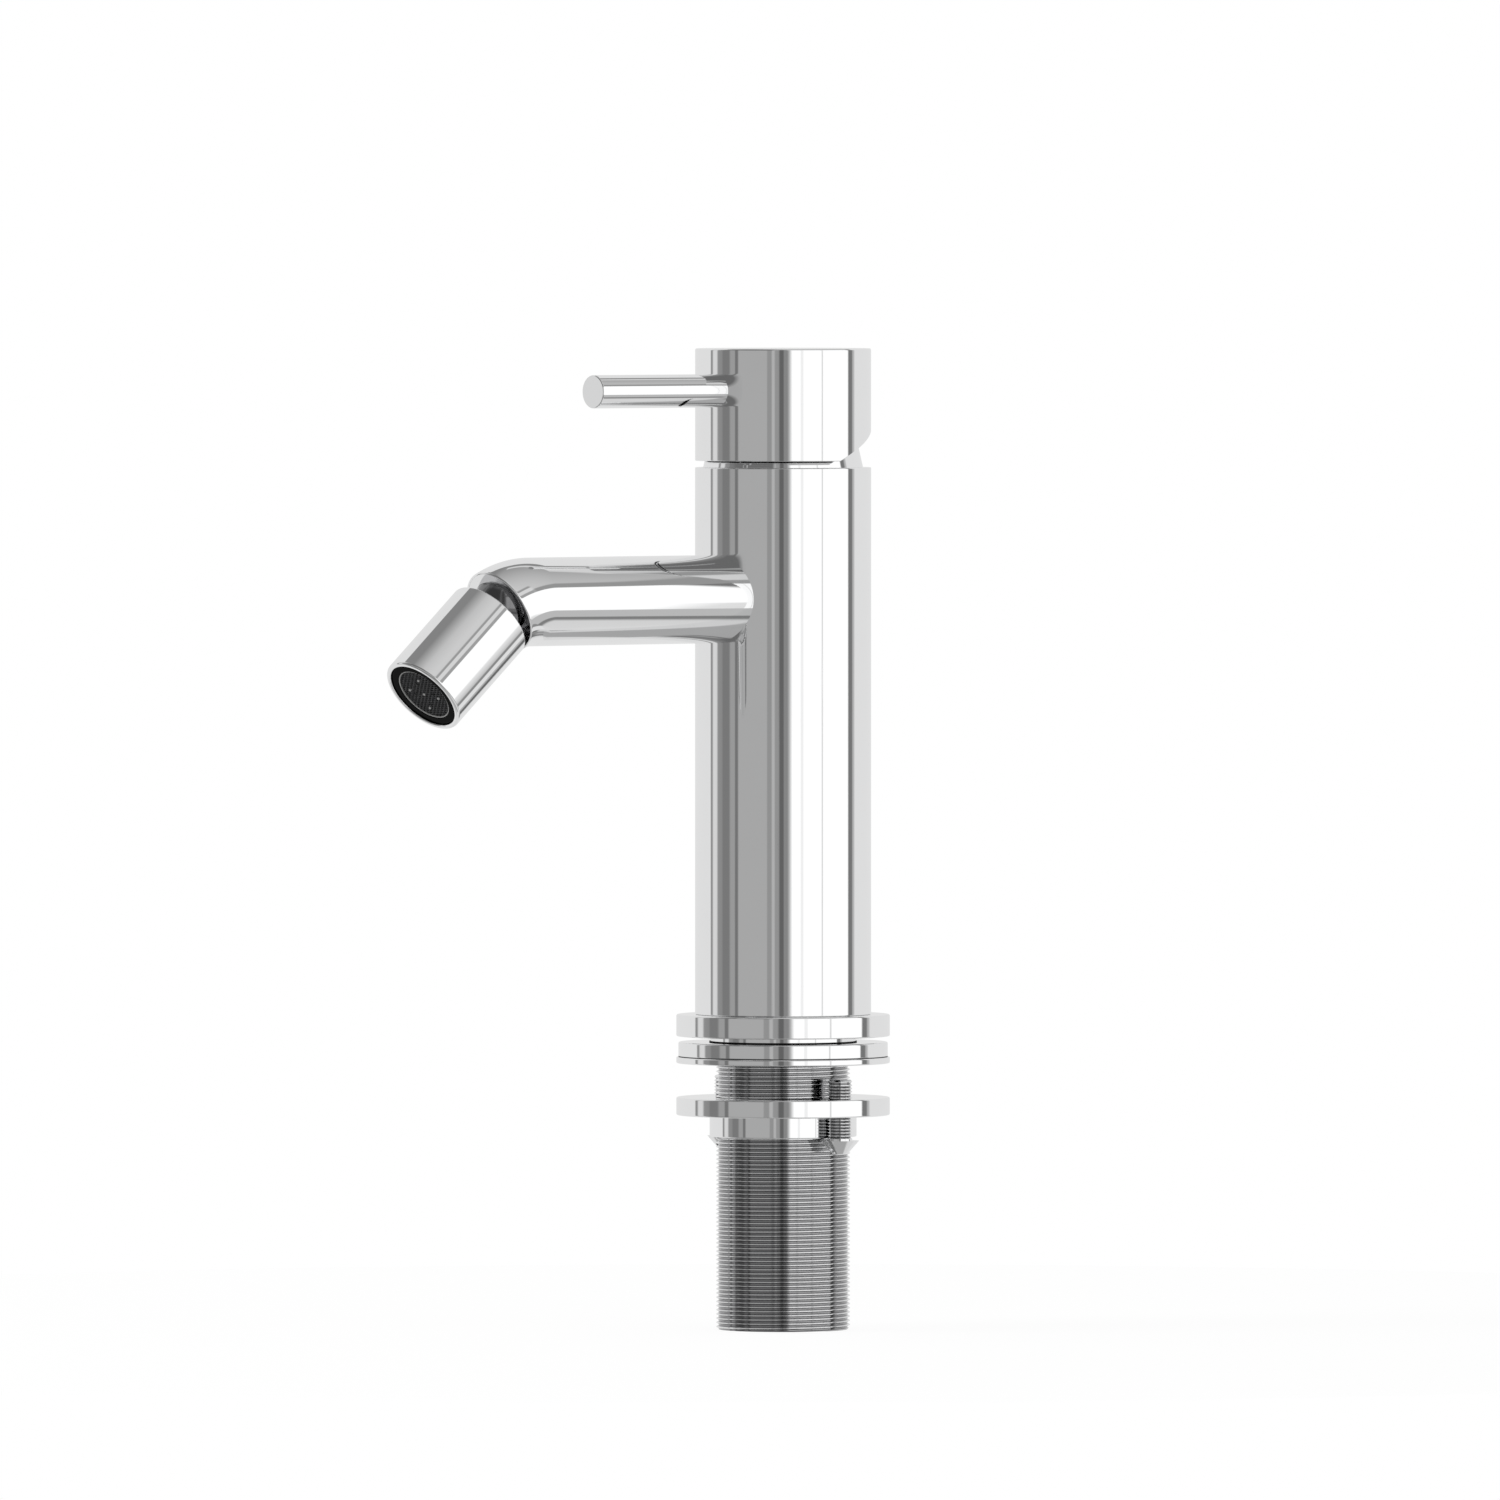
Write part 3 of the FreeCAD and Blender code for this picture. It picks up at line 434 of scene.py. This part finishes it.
def woven(reach, spacing, thick, height, sides=6, per_gap=4):
    """Round screen of plain weave: wires lie at even spacing inside a circle, both ways, and
    each wire's height goes as cos(pi * (along / spacing - 1/2)), with the sign that its
    number and its direction give, so that it passes over one crossing wire and under the
    next."""
    half = int(reach / spacing - 0.5)
    number = np.arange(-half, half + 1)
    offset = (number + 0.5) * spacing
    ends = np.sqrt(np.maximum(reach ** 2 - offset ** 2, 0))
    share = np.linspace(-1, 1, (2 * half + 1) * per_gap)
    share = np.concatenate([[-1], share, [1]])
    width = np.full(len(share), thick / 2)
    width[[0, -1]] = 0
    along = ends[:, None] * share
    wave = 0.62 * thick
    lift = wave * np.cos(np.pi * (along / spacing - 0.5)) * (-1.0) ** number[:, None]
    angle = np.linspace(0, 2 * np.pi, sides, endpoint=False)
    across = offset[:, None, None] + width[None, :, None] * np.cos(angle)
    up = height + lift[:, :, None] + width[None, :, None] * np.sin(angle)
    along = np.broadcast_to(along[:, :, None], across.shape)
    one_way = np.stack([along, across, up], -1)
    other_way = np.stack([across, along, 2 * height - up], -1)
    grid = np.concatenate([one_way, other_way])
    wires, rows, columns = grid.shape[:3]
    w, i, j = np.meshgrid(np.arange(wires), np.arange(rows - 1), np.arange(columns), indexing="ij")
    first = (w * rows + i) * columns
    quads = np.stack([first + j, first + (j + 1) % columns, first + columns + (j + 1) % columns,
                      first + columns + j], -1).reshape(-1, 4)
    return grid, quads


dark_steel = finish("woven_steel", (0.16, 0.16, 0.165), metallic=1.0, smooth=0.25, dull=0.4,
                    patch=2.0, grain=0.05, height=0.001, deeper=0.8)
wire_grid, wire_faces = woven(reach=7.2, spacing=0.64, thick=0.2, height=32.12)
screen = mesh_piece("woven_screen", leaned(wire_grid, head_angle, ball_centre).reshape(-1, 3),
                    wire_faces)
screen.data.materials.append(dark_steel)
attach(screen, "swivel_head")
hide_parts("aerator_mesh")

light_grey = finish("pale_moulding", (0.55, 0.55, 0.54), smooth=0.3, dull=0.45, patch=3.0,
                    grain=0.2, height=0.002, deeper=0.92)
rim_bore, rim_radius = 7.02, 7.32
rim_low, rim_high = 32.0, 32.45
screen_rim = surface("screen_rim", leaned(
    washer(rim_bore, rim_radius, rim_low, rim_high, [0, 0.12, 0.12, 0]),
    head_angle, ball_centre))
pin_radius, pin_end, pin_root = 0.34, 32.5, 31.6
pin_outline = rounded([(0, pin_end), (pin_radius, pin_end), (pin_radius, pin_root), (0, pin_root)],
                      [0, 0.15, 0, 0], closed=False)
pin_places = [(0, 0), (4.28, -1.23), (1.23, 4.28), (-4.28, 1.23), (-1.23, -4.28)]
pin_shape = turned(pin_outline, columns=20)
pins = [surface("pin_end_%d" % number, leaned(pin_shape + (x, y, 0), head_angle, ball_centre),
                rows_meet=False) for number, (x, y) in enumerate(pin_places)]
for piece in [screen_rim, *pins]:
    piece.data.materials.append(light_grey)
    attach(piece, "swivel_head")


# Cartridge
# Single-lever cartridge of 35 mm: moulded housing, base and carrier, two lapped ceramic
# discs, rubber port seals, steel pin and spindle, and the brass nut that presses it down.

ceramic = finish("lapped_ceramic", (0.82, 0.81, 0.78), smooth=0.1, dull=0.2, patch=8.0, grain=0.1,
                 height=0.0005, deeper=0.97)
drawn_steel = finish("drawn_steel", (0.60, 0.60, 0.61), metallic=1.0, smooth=0.2, dull=0.34,
                     patch=6.0, grain=0.15, height=0.001, deeper=0.9)
cut_brass = finish("cut_brass", (0.80, 0.60, 0.33), metallic=1.0, smooth=0.18, dull=0.32,
                   patch=7.0, grain=0.2, height=0.002, deeper=0.9, marks=0.25)
for name, material in [("cartridge_base", acetal), ("cartridge_housing", acetal),
                       ("cartridge_carrier", acetal), ("disc_holder", acetal),
                       ("port_seals", rubber), ("lower_ceramic_disc", ceramic),
                       ("upper_ceramic_disc", ceramic), ("spindle_pin", drawn_steel),
                       ("cartridge_spindle", drawn_steel), ("cap_grub_screw", drawn_steel),
                       ("cartridge_nut", cut_brass)]:
    nodes[name].material_slots[0].material = material


# Dome ring
# Thin chrome plated cover over the cartridge's nut. Its cone closes the gap between the
# barrel and the cap, and shows as one bright line there.

cover_foot, cover_mouth, cover_bore = 135.8, 12.8, 16.5
cover_outside = [(19.1, cover_foot), (17.9, 141.1), (16.4, 143.2), (cover_mouth, 144.3)]
cover_inside = [(cover_mouth, 142.9), (15.0, 141.8), (cover_bore, 139.7), (cover_bore, cover_foot)]
cover = surface("dome_cover", turned(rounded(
    cover_outside + cover_inside, [0.1, 1.2, 1.2, 0.2, 0.2, 0.5, 0.5, 0.1])))
cover.data.materials.append(chrome)
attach(cover, "body")
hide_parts("dome_ring")


# Handle cap and lever
# The cap is cast brass, turned and plated, of the barrel's own width, and cut away below at
# the back so that it can tilt. It sits on the cartridge's spindle. The lever is a thin
# plated rod whose stud is screwed into the cap's front.

cap_radius, cap_foot, cap_top = 21, 137.4, 164.2
skirt_bore, skirt_roof = 19.8, 147.5
inside_radius, inside_roof = 17.5, 161.2
hub_radius, hub_foot = 10.5, 150.0
cut_slope = math.tan(math.radians(24.2))
cap_grid = turned(rounded(
    [(0, cap_top), (cap_radius, cap_top), (cap_radius, cap_foot), (skirt_bore, cap_foot),
     (skirt_bore, skirt_roof), (inside_radius, skirt_roof), (inside_radius, inside_roof),
     (hub_radius, inside_roof), (hub_radius, hub_foot), (0, hub_foot)],
    [0, 0.4, 0.2, 0.15, 0.1, 0.1, 0.3, 0.3, 0.3, 0], closed=False))
skirt_edge = cap_grid[..., 2] < cap_foot + 0.6
cap_grid[..., 2] += np.where(skirt_edge, np.maximum(cap_grid[..., 1], 0) * cut_slope, 0)
cap = surface("cap_shell", cap_grid, rows_meet=False)
cap.data.materials.append(chrome)
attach(cap, "handle")
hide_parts("handle_cap")

lever_radius, lever_start, lever_end = 3.95, 18.2, 59.4
lever_place = (0, 0, 154.2)
lever_outline = rounded(
    [(0, lever_start), (lever_radius, lever_start), (lever_radius, lever_end), (0, lever_end)],
    [0, 0.05, 0.25, 0], closed=False)
lever = surface("lever_bar", leaned(turned(lever_outline, columns=160), angle=0,
                                    centre=lever_place), rows_meet=False)
lever.data.materials.append(chrome)
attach(lever, "handle")
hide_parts("lever_rod")


# Threaded shank
# Hollow brass tube with a fine 1 mm thread, cut on a lathe and plated. It is screwed into the
# barrel from below and goes down through the deck, with room for the two hoses inside it.

def threaded(radius, depth, pitch, low, high, chamfer, columns=128):
    """Screw surface. A row rises with the angle as z = low + pitch * (turn + angle / 360),
    and the radius follows the groove's V: full at the crest, less by the depth at the
    root, straight between. Past an end the height stays at the end, and at the low end the
    radius is held under the chamfer's cone. One turn of rows later, the last column meets
    the first."""
    crest_end, root_start, root_end, crest_start = 0.06, 0.41, 0.59, 0.94
    place = np.array([crest_end, 0.24, root_start, root_end, 0.76, crest_start])
    turn = (np.arange(-1, math.ceil((high - low) / pitch) + 1)[:, None] + place).ravel()
    angle = np.linspace(0, 2 * np.pi, columns + 1)
    z = np.clip(low + pitch * (turn[:, None] + angle / (2 * np.pi)), low, high)
    where = ((z - low) / pitch - angle / (2 * np.pi)) % 1
    r = radius - depth * np.interp(
        where, [0, crest_end, root_start, root_end, crest_start, 1], [0, 0, 1, 1, 0, 0])
    r = np.minimum(r, radius - chamfer + (z - low))
    return np.stack([r * np.cos(angle), r * np.sin(angle), z], -1)


shank_radius, shank_bore = 16.0, 13.2
shank_end, thread_top, shank_top = -70.1, -1.4, 25.8
mouth_edge = [(shank_bore, -69.8), (13.3, -70.02), (13.5, shank_end)]
shank_grid = threaded(shank_radius, depth=0.61, pitch=1.0, low=shank_end, high=thread_top,
                      chamfer=0.6)
plain = np.array([(shank_radius, thread_top), (shank_radius, shank_top),
                  (shank_bore, shank_top), *mouth_edge])
closing = np.linspace(0, 2 * np.pi, shank_grid.shape[1])
plain_grid = np.stack([plain[:, :1] * np.cos(closing), plain[:, :1] * np.sin(closing),
                       plain[:, 1:] + 0 * closing], -1)
shank = surface("screwed_shank", np.concatenate([shank_grid, plain_grid]), columns_meet=False,
                crease=32)


def thread_chrome_with_painted_shade(name, axis_x, root, crest, low=-1000.0):
    """Chrome on a thread whose axis is upright at axis_x, in millimetres, with painted shade in
    its grooves: the colour goes from a dark grey at the root's radius to full chrome near the
    crest's, in place of the shade down in each groove. Below the height low all of it is full
    chrome."""
    material = finish(name, (0.92, 0.922, 0.925), metallic=1.0, smooth=0.05, dull=0.11, patch=8.0,
                      grain=0.3, height=0.0004, deeper=0.95, hairlines=0.05)
    tree = material.node_tree
    shader = tree.nodes["Principled BSDF"]
    place = tree.nodes.new("ShaderNodeTexCoord")
    moved = tree.nodes.new("ShaderNodeVectorMath")
    moved.operation = "MULTIPLY_ADD"
    moved.inputs[1].default_value = (1, 1, 0)
    moved.inputs[2].default_value = (-axis_x / 1000, 0, 0)
    radius = tree.nodes.new("ShaderNodeVectorMath")
    radius.operation = "LENGTH"
    painted_shade_fade = tree.nodes.new("ShaderNodeMapRange")
    height = tree.nodes.new("ShaderNodeSeparateXYZ")
    below = tree.nodes.new("ShaderNodeMapRange")
    for made, values in ((painted_shade_fade, (root, crest, 0.0, 1.0)), (below, (low - 0.2, low, 1.0, 0.0))):
        for socket, value in zip(("From Min", "From Max"), values[:2]):
            made.inputs[socket].default_value = value / 1000
        for socket, value in zip(("To Min", "To Max"), values[2:]):
            made.inputs[socket].default_value = value
    either = tree.nodes.new("ShaderNodeMath")
    either.operation = "MAXIMUM"
    painted_groove_shade = tree.nodes.new("ShaderNodeMix")
    painted_groove_shade.data_type = "RGBA"
    # Painted shade: the dark grey that the root of each groove gets.
    painted_groove_shade.inputs["A"].default_value = (0.38, 0.38, 0.385, 1)
    tint = shader.inputs["Base Color"].links[0].from_socket
    for source, target in ((place.outputs["Object"], moved.inputs[0]),
                           (moved.outputs["Vector"], radius.inputs[0]),
                           (radius.outputs["Value"], painted_shade_fade.inputs["Value"]),
                           (place.outputs["Object"], height.inputs[0]),
                           (height.outputs["Z"], below.inputs["Value"]),
                           (painted_shade_fade.outputs["Result"], either.inputs[0]),
                           (below.outputs["Result"], either.inputs[1]),
                           (either.outputs["Value"], painted_groove_shade.inputs["Factor"]),
                           (tint, painted_groove_shade.inputs["B"]),
                           (painted_groove_shade.outputs["Result"], shader.inputs["Base Color"])):
        tree.links.new(source, target)
    return material


# The shank's thread gets painted shade in its grooves, darkest at the root.
shank.data.materials.append(thread_chrome_with_painted_shade("chrome_on_thread", axis_x=0, root=15.5, crest=15.85))
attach(shank, "body")
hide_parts("threaded_shank")


# Clamp ring and washer
# Two loose flat rings, stamped and turned from plated steel, slide on the shank under the
# deck, with a thin black fibre disc between them. The jack screws press on the thinner one.

rings_bore, upper_radius, lower_radius = 16.3, 25.0, 25.5
rings_top, rings_joint, rings_foot = -1.4, -4.95, -6.45
upper_ring = surface("deck_ring", washer(rings_bore, upper_radius, rings_joint, rings_top,
                                         [0.35, 0.35, 0.1, 0.1]))
lower_ring = surface("pressed_washer", washer(rings_bore, lower_radius, rings_foot, rings_joint,
                                              [0.3, 0.3, 0.1, 0.1]))
for piece, node_name in [(upper_ring, "clamp_ring"), (lower_ring, "clamp_washer")]:
    piece.data.materials.append(chrome)
    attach(piece, "clamp_rings")
    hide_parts(node_name)
disc_bore, disc_radius = 24.3, 24.98
disc_low, disc_high = -5.07, -4.72
fibre_disc = surface("fibre_disc", washer(disc_bore, disc_radius, disc_low, disc_high, 0.03))
fibre_disc.data.materials.append(rubber)
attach(fibre_disc, "clamp_rings")


# Lock nut and jack screws
# The nut is a turned and plated flange with a threaded hub that runs on the shank. Two plated
# screws go through its flange and press the two rings up against the deck.

flange_radius, hub_outer, nut_bore = 25.5, 17.55, 16.08
flange_top, flange_foot, nut_foot = -14.6, -18.85, -24.0
nut = surface("flange_nut", turned(rounded(
    [(flange_radius, flange_top), (flange_radius, flange_foot), (hub_outer, flange_foot),
     (hub_outer, nut_foot), (nut_bore, nut_foot), (nut_bore, flange_top)],
    [0.35, 0.35, 0.15, 0.3, 0.1, 0.1])))
nut.data.materials.append(chrome)
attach(nut, "lock_nut")
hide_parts("lock_nut")
screw_place = 20.8
# Each screw's thread gets the same painted shade in its grooves; its head, below the height low,
# stays full chrome.
for name, screw_x in (("jack_screw_left", -screw_place), ("jack_screw_right", screw_place)):
    nodes[name].material_slots[0].material = thread_chrome_with_painted_shade(
        "chrome_on_" + name, axis_x=screw_x, root=2.55, crest=2.85, low=-24.3)


# Floor, studio and camera
# Small pale table under the tap, a bright white studio, and a long lens that looks a little
# down on it. The studio is a ring of plain cards and gaps round the tap, which the chrome
# shows as its light and dark stripes.

# The photograph's viewing angle round the tap, and the directions to its right and to its
# camera. The table stands at the shank's end.
view_angle = math.radians(49.5)
side = np.array([math.cos(view_angle), math.sin(view_angle), 0.0])
toward = np.array([math.sin(view_angle), -math.cos(view_angle), 0.0])

table_radius, table_height, table_sides = 0.35, shank_end / 1000, 96
floor_mesh = bpy.data.meshes.new("table_top")
rim = np.linspace(0, 2 * np.pi, table_sides, endpoint=False)
floor_mesh.from_pydata(np.stack([table_radius * np.cos(rim), table_radius * np.sin(rim),
                                 0 * rim + table_height], -1), [], [list(range(table_sides))])
floor_top = bpy.data.objects.new("table_top", floor_mesh)
bpy.context.scene.collection.objects.link(floor_top)
floor_top.visible_glossy = False
# The camera sees a near white top that still takes a faint shadow, other light meets a
# matt pale one, and the chrome doesn't show it.
pale = bpy.data.materials.new("pale_table")
pale.use_nodes = True
tree = pale.node_tree
tree.nodes.clear()
ray = tree.nodes.new("ShaderNodeLightPath")
matt = tree.nodes.new("ShaderNodeBsdfDiffuse")
matt.inputs["Color"].default_value = (0.8, 0.8, 0.8, 1)
thin = tree.nodes.new("ShaderNodeBsdfDiffuse")
thin.inputs["Color"].default_value = (0.15, 0.15, 0.15, 1)
white = tree.nodes.new("ShaderNodeEmission")
white.inputs["Strength"].default_value = 0.9
seen = tree.nodes.new("ShaderNodeAddShader")
pick = tree.nodes.new("ShaderNodeMixShader")
out = tree.nodes.new("ShaderNodeOutputMaterial")
tree.links.new(thin.outputs[0], seen.inputs[0])
tree.links.new(white.outputs[0], seen.inputs[1])
tree.links.new(ray.outputs["Is Camera Ray"], pick.inputs[0])
tree.links.new(matt.outputs[0], pick.inputs[1])
tree.links.new(seen.outputs[0], pick.inputs[2])
tree.links.new(pick.outputs[0], out.inputs["Surface"])
floor_mesh.materials.append(pale)

world = bpy.data.worlds.new("studio")
bpy.context.scene.world = world
world.use_nodes = True
tree = world.node_tree
tree.nodes.clear()
look = tree.nodes.new("ShaderNodeTexCoord").outputs["Generated"]


def sum_of(kind, first, second=None, third=None):
    """One Math node: kind of first, second and third, each a number or a socket."""
    made = tree.nodes.new("ShaderNodeMath")
    made.operation = kind
    for socket, value in zip(made.inputs, (first, second, third)):
        if value is None:
            continue
        if isinstance(value, (int, float)):
            socket.default_value = value
        else:
            tree.links.new(value, socket)
    return made.outputs[0]


def along_axis(axis):
    """How far the direction goes along an axis."""
    made = tree.nodes.new("ShaderNodeVectorMath")
    made.operation = "DOT_PRODUCT"
    tree.links.new(look, made.inputs[0])
    made.inputs[1].default_value = tuple(axis)
    return made.outputs["Value"]


# The largest value that cards() can give, which a colour ramp holds as 1.
brightest = 1.2


def cards(angle, stops):
    """Value along an angle in degrees, such as the cards' brightness: straight lines between
    the stops, each an angle and its value."""
    low, high = stops[0][0], stops[-1][0]
    share = sum_of("DIVIDE", sum_of("SUBTRACT", angle, low), high - low)
    ramp = tree.nodes.new("ShaderNodeValToRGB")
    tree.links.new(share, ramp.inputs[0])
    line = ramp.color_ramp
    line.interpolation = "LINEAR"
    line.elements.remove(line.elements[-1])
    line.elements[0].position = 0
    line.elements[0].color = (*[stops[0][1] / brightest] * 3, 1)
    for place, level in stops[1:]:
        added = line.elements.new((place - low) / (high - low))
        added.color = (*[level / brightest] * 3, 1)
    return sum_of("MULTIPLY", ramp.outputs[0], brightest)


def between(value, low, high, soft):
    """1 from low to high and 0 outside, with soft edges."""
    rise = sum_of("MULTIPLY_ADD", value, 1 / soft, 0.5 - low / soft)
    drop = sum_of("MULTIPLY_ADD", value, -1 / soft, 0.5 + high / soft)
    return sum_of("MAXIMUM", 0.0, sum_of("MINIMUM", 1.0, sum_of("MINIMUM", rise, drop)))


def blend(share, first, second):
    """First where the share is 0, second where it is 1."""
    return sum_of("ADD", sum_of("MULTIPLY", sum_of("SUBTRACT", 1.0, share), first),
                  sum_of("MULTIPLY", share, second))


across, ahead, up = along_axis(side), along_axis(toward), along_axis((0, 0, 1))
degree = 180 / math.pi
round_angle = sum_of("MULTIPLY", sum_of("ARCTAN2", across, ahead), degree)
rise_angle = sum_of("MULTIPLY", sum_of("ARCSINE", up), degree)

# Walls: brightness against the angle round the tap, 0 on the camera's side, 90 on the
# picture's right. Their top and foot are angles too, in hundreds of degrees in the ramps.
left_cards = cards(round_angle, [
    (-111.3, 0.77), (-109.5, 0.28), (-107.2, 0.27), (-104.5, 0.7), (-98, 0.7), (-95, 0.28),
    (-88, 0.26), (-86, 0.2), (-76, 0.2), (-73, 0.34), (-67, 0.34), (-65.5, 0.18), (-62.5, 0.18),
    (-60.5, 0.41), (-21.5, 0.41), (-20.5, 0.3), (-15.5, 0.3), (-14.3, 0.46), (-11.5, 0.46),
    (-10.5, 0.31), (-6, 0.3), (-4.2, 0.13), (0.2, 0.13), (1.2, 0.25), (5.5, 0.25), (8, 0.47),
    (12, 1.09)])
right_cards = cards(round_angle, [
    (12, 1.09), (22.8, 1.09), (23.3, 0.93), (26.3, 0.93), (26.8, 1.09), (51.6, 1.09),
    (52.2, 0.72), (53.4, 0.72), (54, 1.09), (94, 1.09), (96, 0.19), (102.3, 0.19), (104, 0.42),
    (106.5, 0.5), (109, 0.77), (116, 0.77)])
low_cards = cards(round_angle, [
    (80, 1.09), (87, 1.09), (90, 0.8), (94, 0.74), (98, 0.66), (102.5, 0.56), (105, 0.26),
    (110, 0.26), (112, 0.78), (116, 0.78)])
walls = blend(between(round_angle, 12, 400, 0.1), left_cards, right_cards)
low_right = sum_of("MULTIPLY", between(round_angle, 82, 400, 1), between(rise_angle, -60, -6, 2))
walls = blend(low_right, walls, low_cards)
wall_top = sum_of("MULTIPLY", 100.0, cards(round_angle, [
    (-180, 0.5), (4, 0.5), (8, 0.27), (85, 0.28), (97, 0.28), (151, 0.465), (180, 0.5)]))
wall_foot = sum_of("MULTIPLY", -100.0, cards(round_angle, [
    (-180, 0.42), (4, 0.42), (8, 0.165), (97, 0.165), (112, 0.35), (122, 0.42), (180, 0.42)]))

# Ceiling over the walls, with beams along its edge in front, on the right and at the back.
over = sum_of("SUBTRACT", rise_angle, wall_top)
ceiling = sum_of("MULTIPLY_ADD", sum_of("MINIMUM", across, 0.0), 0.5,
                 sum_of("MULTIPLY_ADD", across, 0.1, sum_of("MULTIPLY_ADD", ahead, 0.3, 0.46)))
ceiling = sum_of("MINIMUM", 0.64, sum_of("MAXIMUM", 0.24, ceiling))
front_beams = cards(over, [(-5, 0.36), (5.2, 0.36), (6.6, 0.7), (12.6, 0.7), (13.8, 0.33),
                           (16.5, 0.33), (19, 0.55)])
side_beams = cards(over, [(-5, 0.31), (6.5, 0.31), (8.5, 0.46), (19, 0.46)])
back_beams = cards(over, [(-5, 0.25), (6, 0.25), (8, 0.67), (11, 0.67), (12.5, 0.35), (19, 0.35)])
roof = blend(sum_of("MULTIPLY", between(round_angle, 8, 76, 2), between(over, -9, 18, 2)),
             ceiling, front_beams)
roof = blend(sum_of("MULTIPLY", between(round_angle, 76, 118, 2), between(over, -9, 8, 2)),
             roof, side_beams)
roof = blend(sum_of("MULTIPLY", between(round_angle, 118, 400, 2), between(over, -9, 12, 1)),
             roof, back_beams)
shade = sum_of("MULTIPLY", between(round_angle, -120, -12, 6), between(rise_angle, -9, 60, 5))
roof = blend(shade, roof, 0.35)

# Ground under the walls, darker on the left and straight below the camera's side.
floor_cards = cards(rise_angle, [
    (-45, 0.7), (-36.5, 0.68), (-34.5, 0.45), (-33, 0.22), (-29.5, 0.22), (-28.5, 0.51), (0, 0.51)])
ground = blend(between(round_angle, 8, 112, 2), 0.72, floor_cards)
shade = sum_of("MULTIPLY", between(round_angle, -130, 18, 8), between(rise_angle, -66, 0, 8))
ground = blend(shade, ground, 0.42)
below_front = sum_of("MULTIPLY", between(rise_angle, -100, -66, 8), between(ahead, -0.1, 2, 0.04))
ground = blend(below_front, ground, 0.4)

# All of them together, with two dark strips on the left, above and below the tap's level.
level = blend(between(over, -400, 0, 0.8), roof, walls)
under = sum_of("SUBTRACT", rise_angle, wall_foot)
level = blend(between(under, -400, 0, 0.8), level, ground)
dark_sides = sum_of("MULTIPLY", between(round_angle, -78, -14, 6),
                    sum_of("ADD", between(rise_angle, 14, 58, 9), between(rise_angle, -32, -14, 7)))
level = blend(dark_sides, level, 0.15)

# The camera, and what shows through glass, gets plain white in the studio's place.
path = tree.nodes.new("ShaderNodeLightPath")
clear = sum_of("MAXIMUM", path.outputs["Is Camera Ray"], path.outputs["Is Transmission Ray"])
glow = tree.nodes.new("ShaderNodeBackground")
tree.links.new(blend(clear, level, 1.0), glow.inputs["Color"])
out = tree.nodes.new("ShaderNodeOutputWorld")
tree.links.new(glow.outputs[0], out.inputs["Surface"])

# Wide soft lamp over the front, which gives the faint shadow and no stripe in the chrome.
lamp_data = bpy.data.lights.new("soft_lamp", "AREA")
lamp_data.shape = "DISK"
lamp_data.size = 0.8
lamp_data.energy = 6.0
lamp = bpy.data.objects.new("soft_lamp", lamp_data)
lamp.location = (-0.5, -1.1, 1.2)
lamp.rotation_mode = "QUATERNION"
lamp.rotation_quaternion = lamp.location.to_track_quat("Z", "Y")
lamp.visible_glossy = False
bpy.context.scene.collection.objects.link(lamp)

# Long lens, 5.97 m away and tilted down by 1.37 degrees, aimed near the tap's middle.
lens = bpy.data.cameras.new("long_lens")
lens.lens = 600
lens.sensor_width = 36
lens.clip_start, lens.clip_end = 0.1, 40
camera = bpy.data.objects.new("long_lens", lens)
aim = np.array([-0.00513, -0.00601, 0.0683])
tilt, distance = math.radians(1.37), 5.97
back = math.cos(tilt) * toward + np.array([0, 0, math.sin(tilt)])
camera.location = aim + distance * back
camera.rotation_mode = "QUATERNION"
camera.rotation_quaternion = Vector(back).to_track_quat("Z", "Y")
bpy.context.scene.collection.objects.link(camera)
bpy.context.scene.camera = camera
bpy.context.scene.view_settings.view_transform = "Standard"
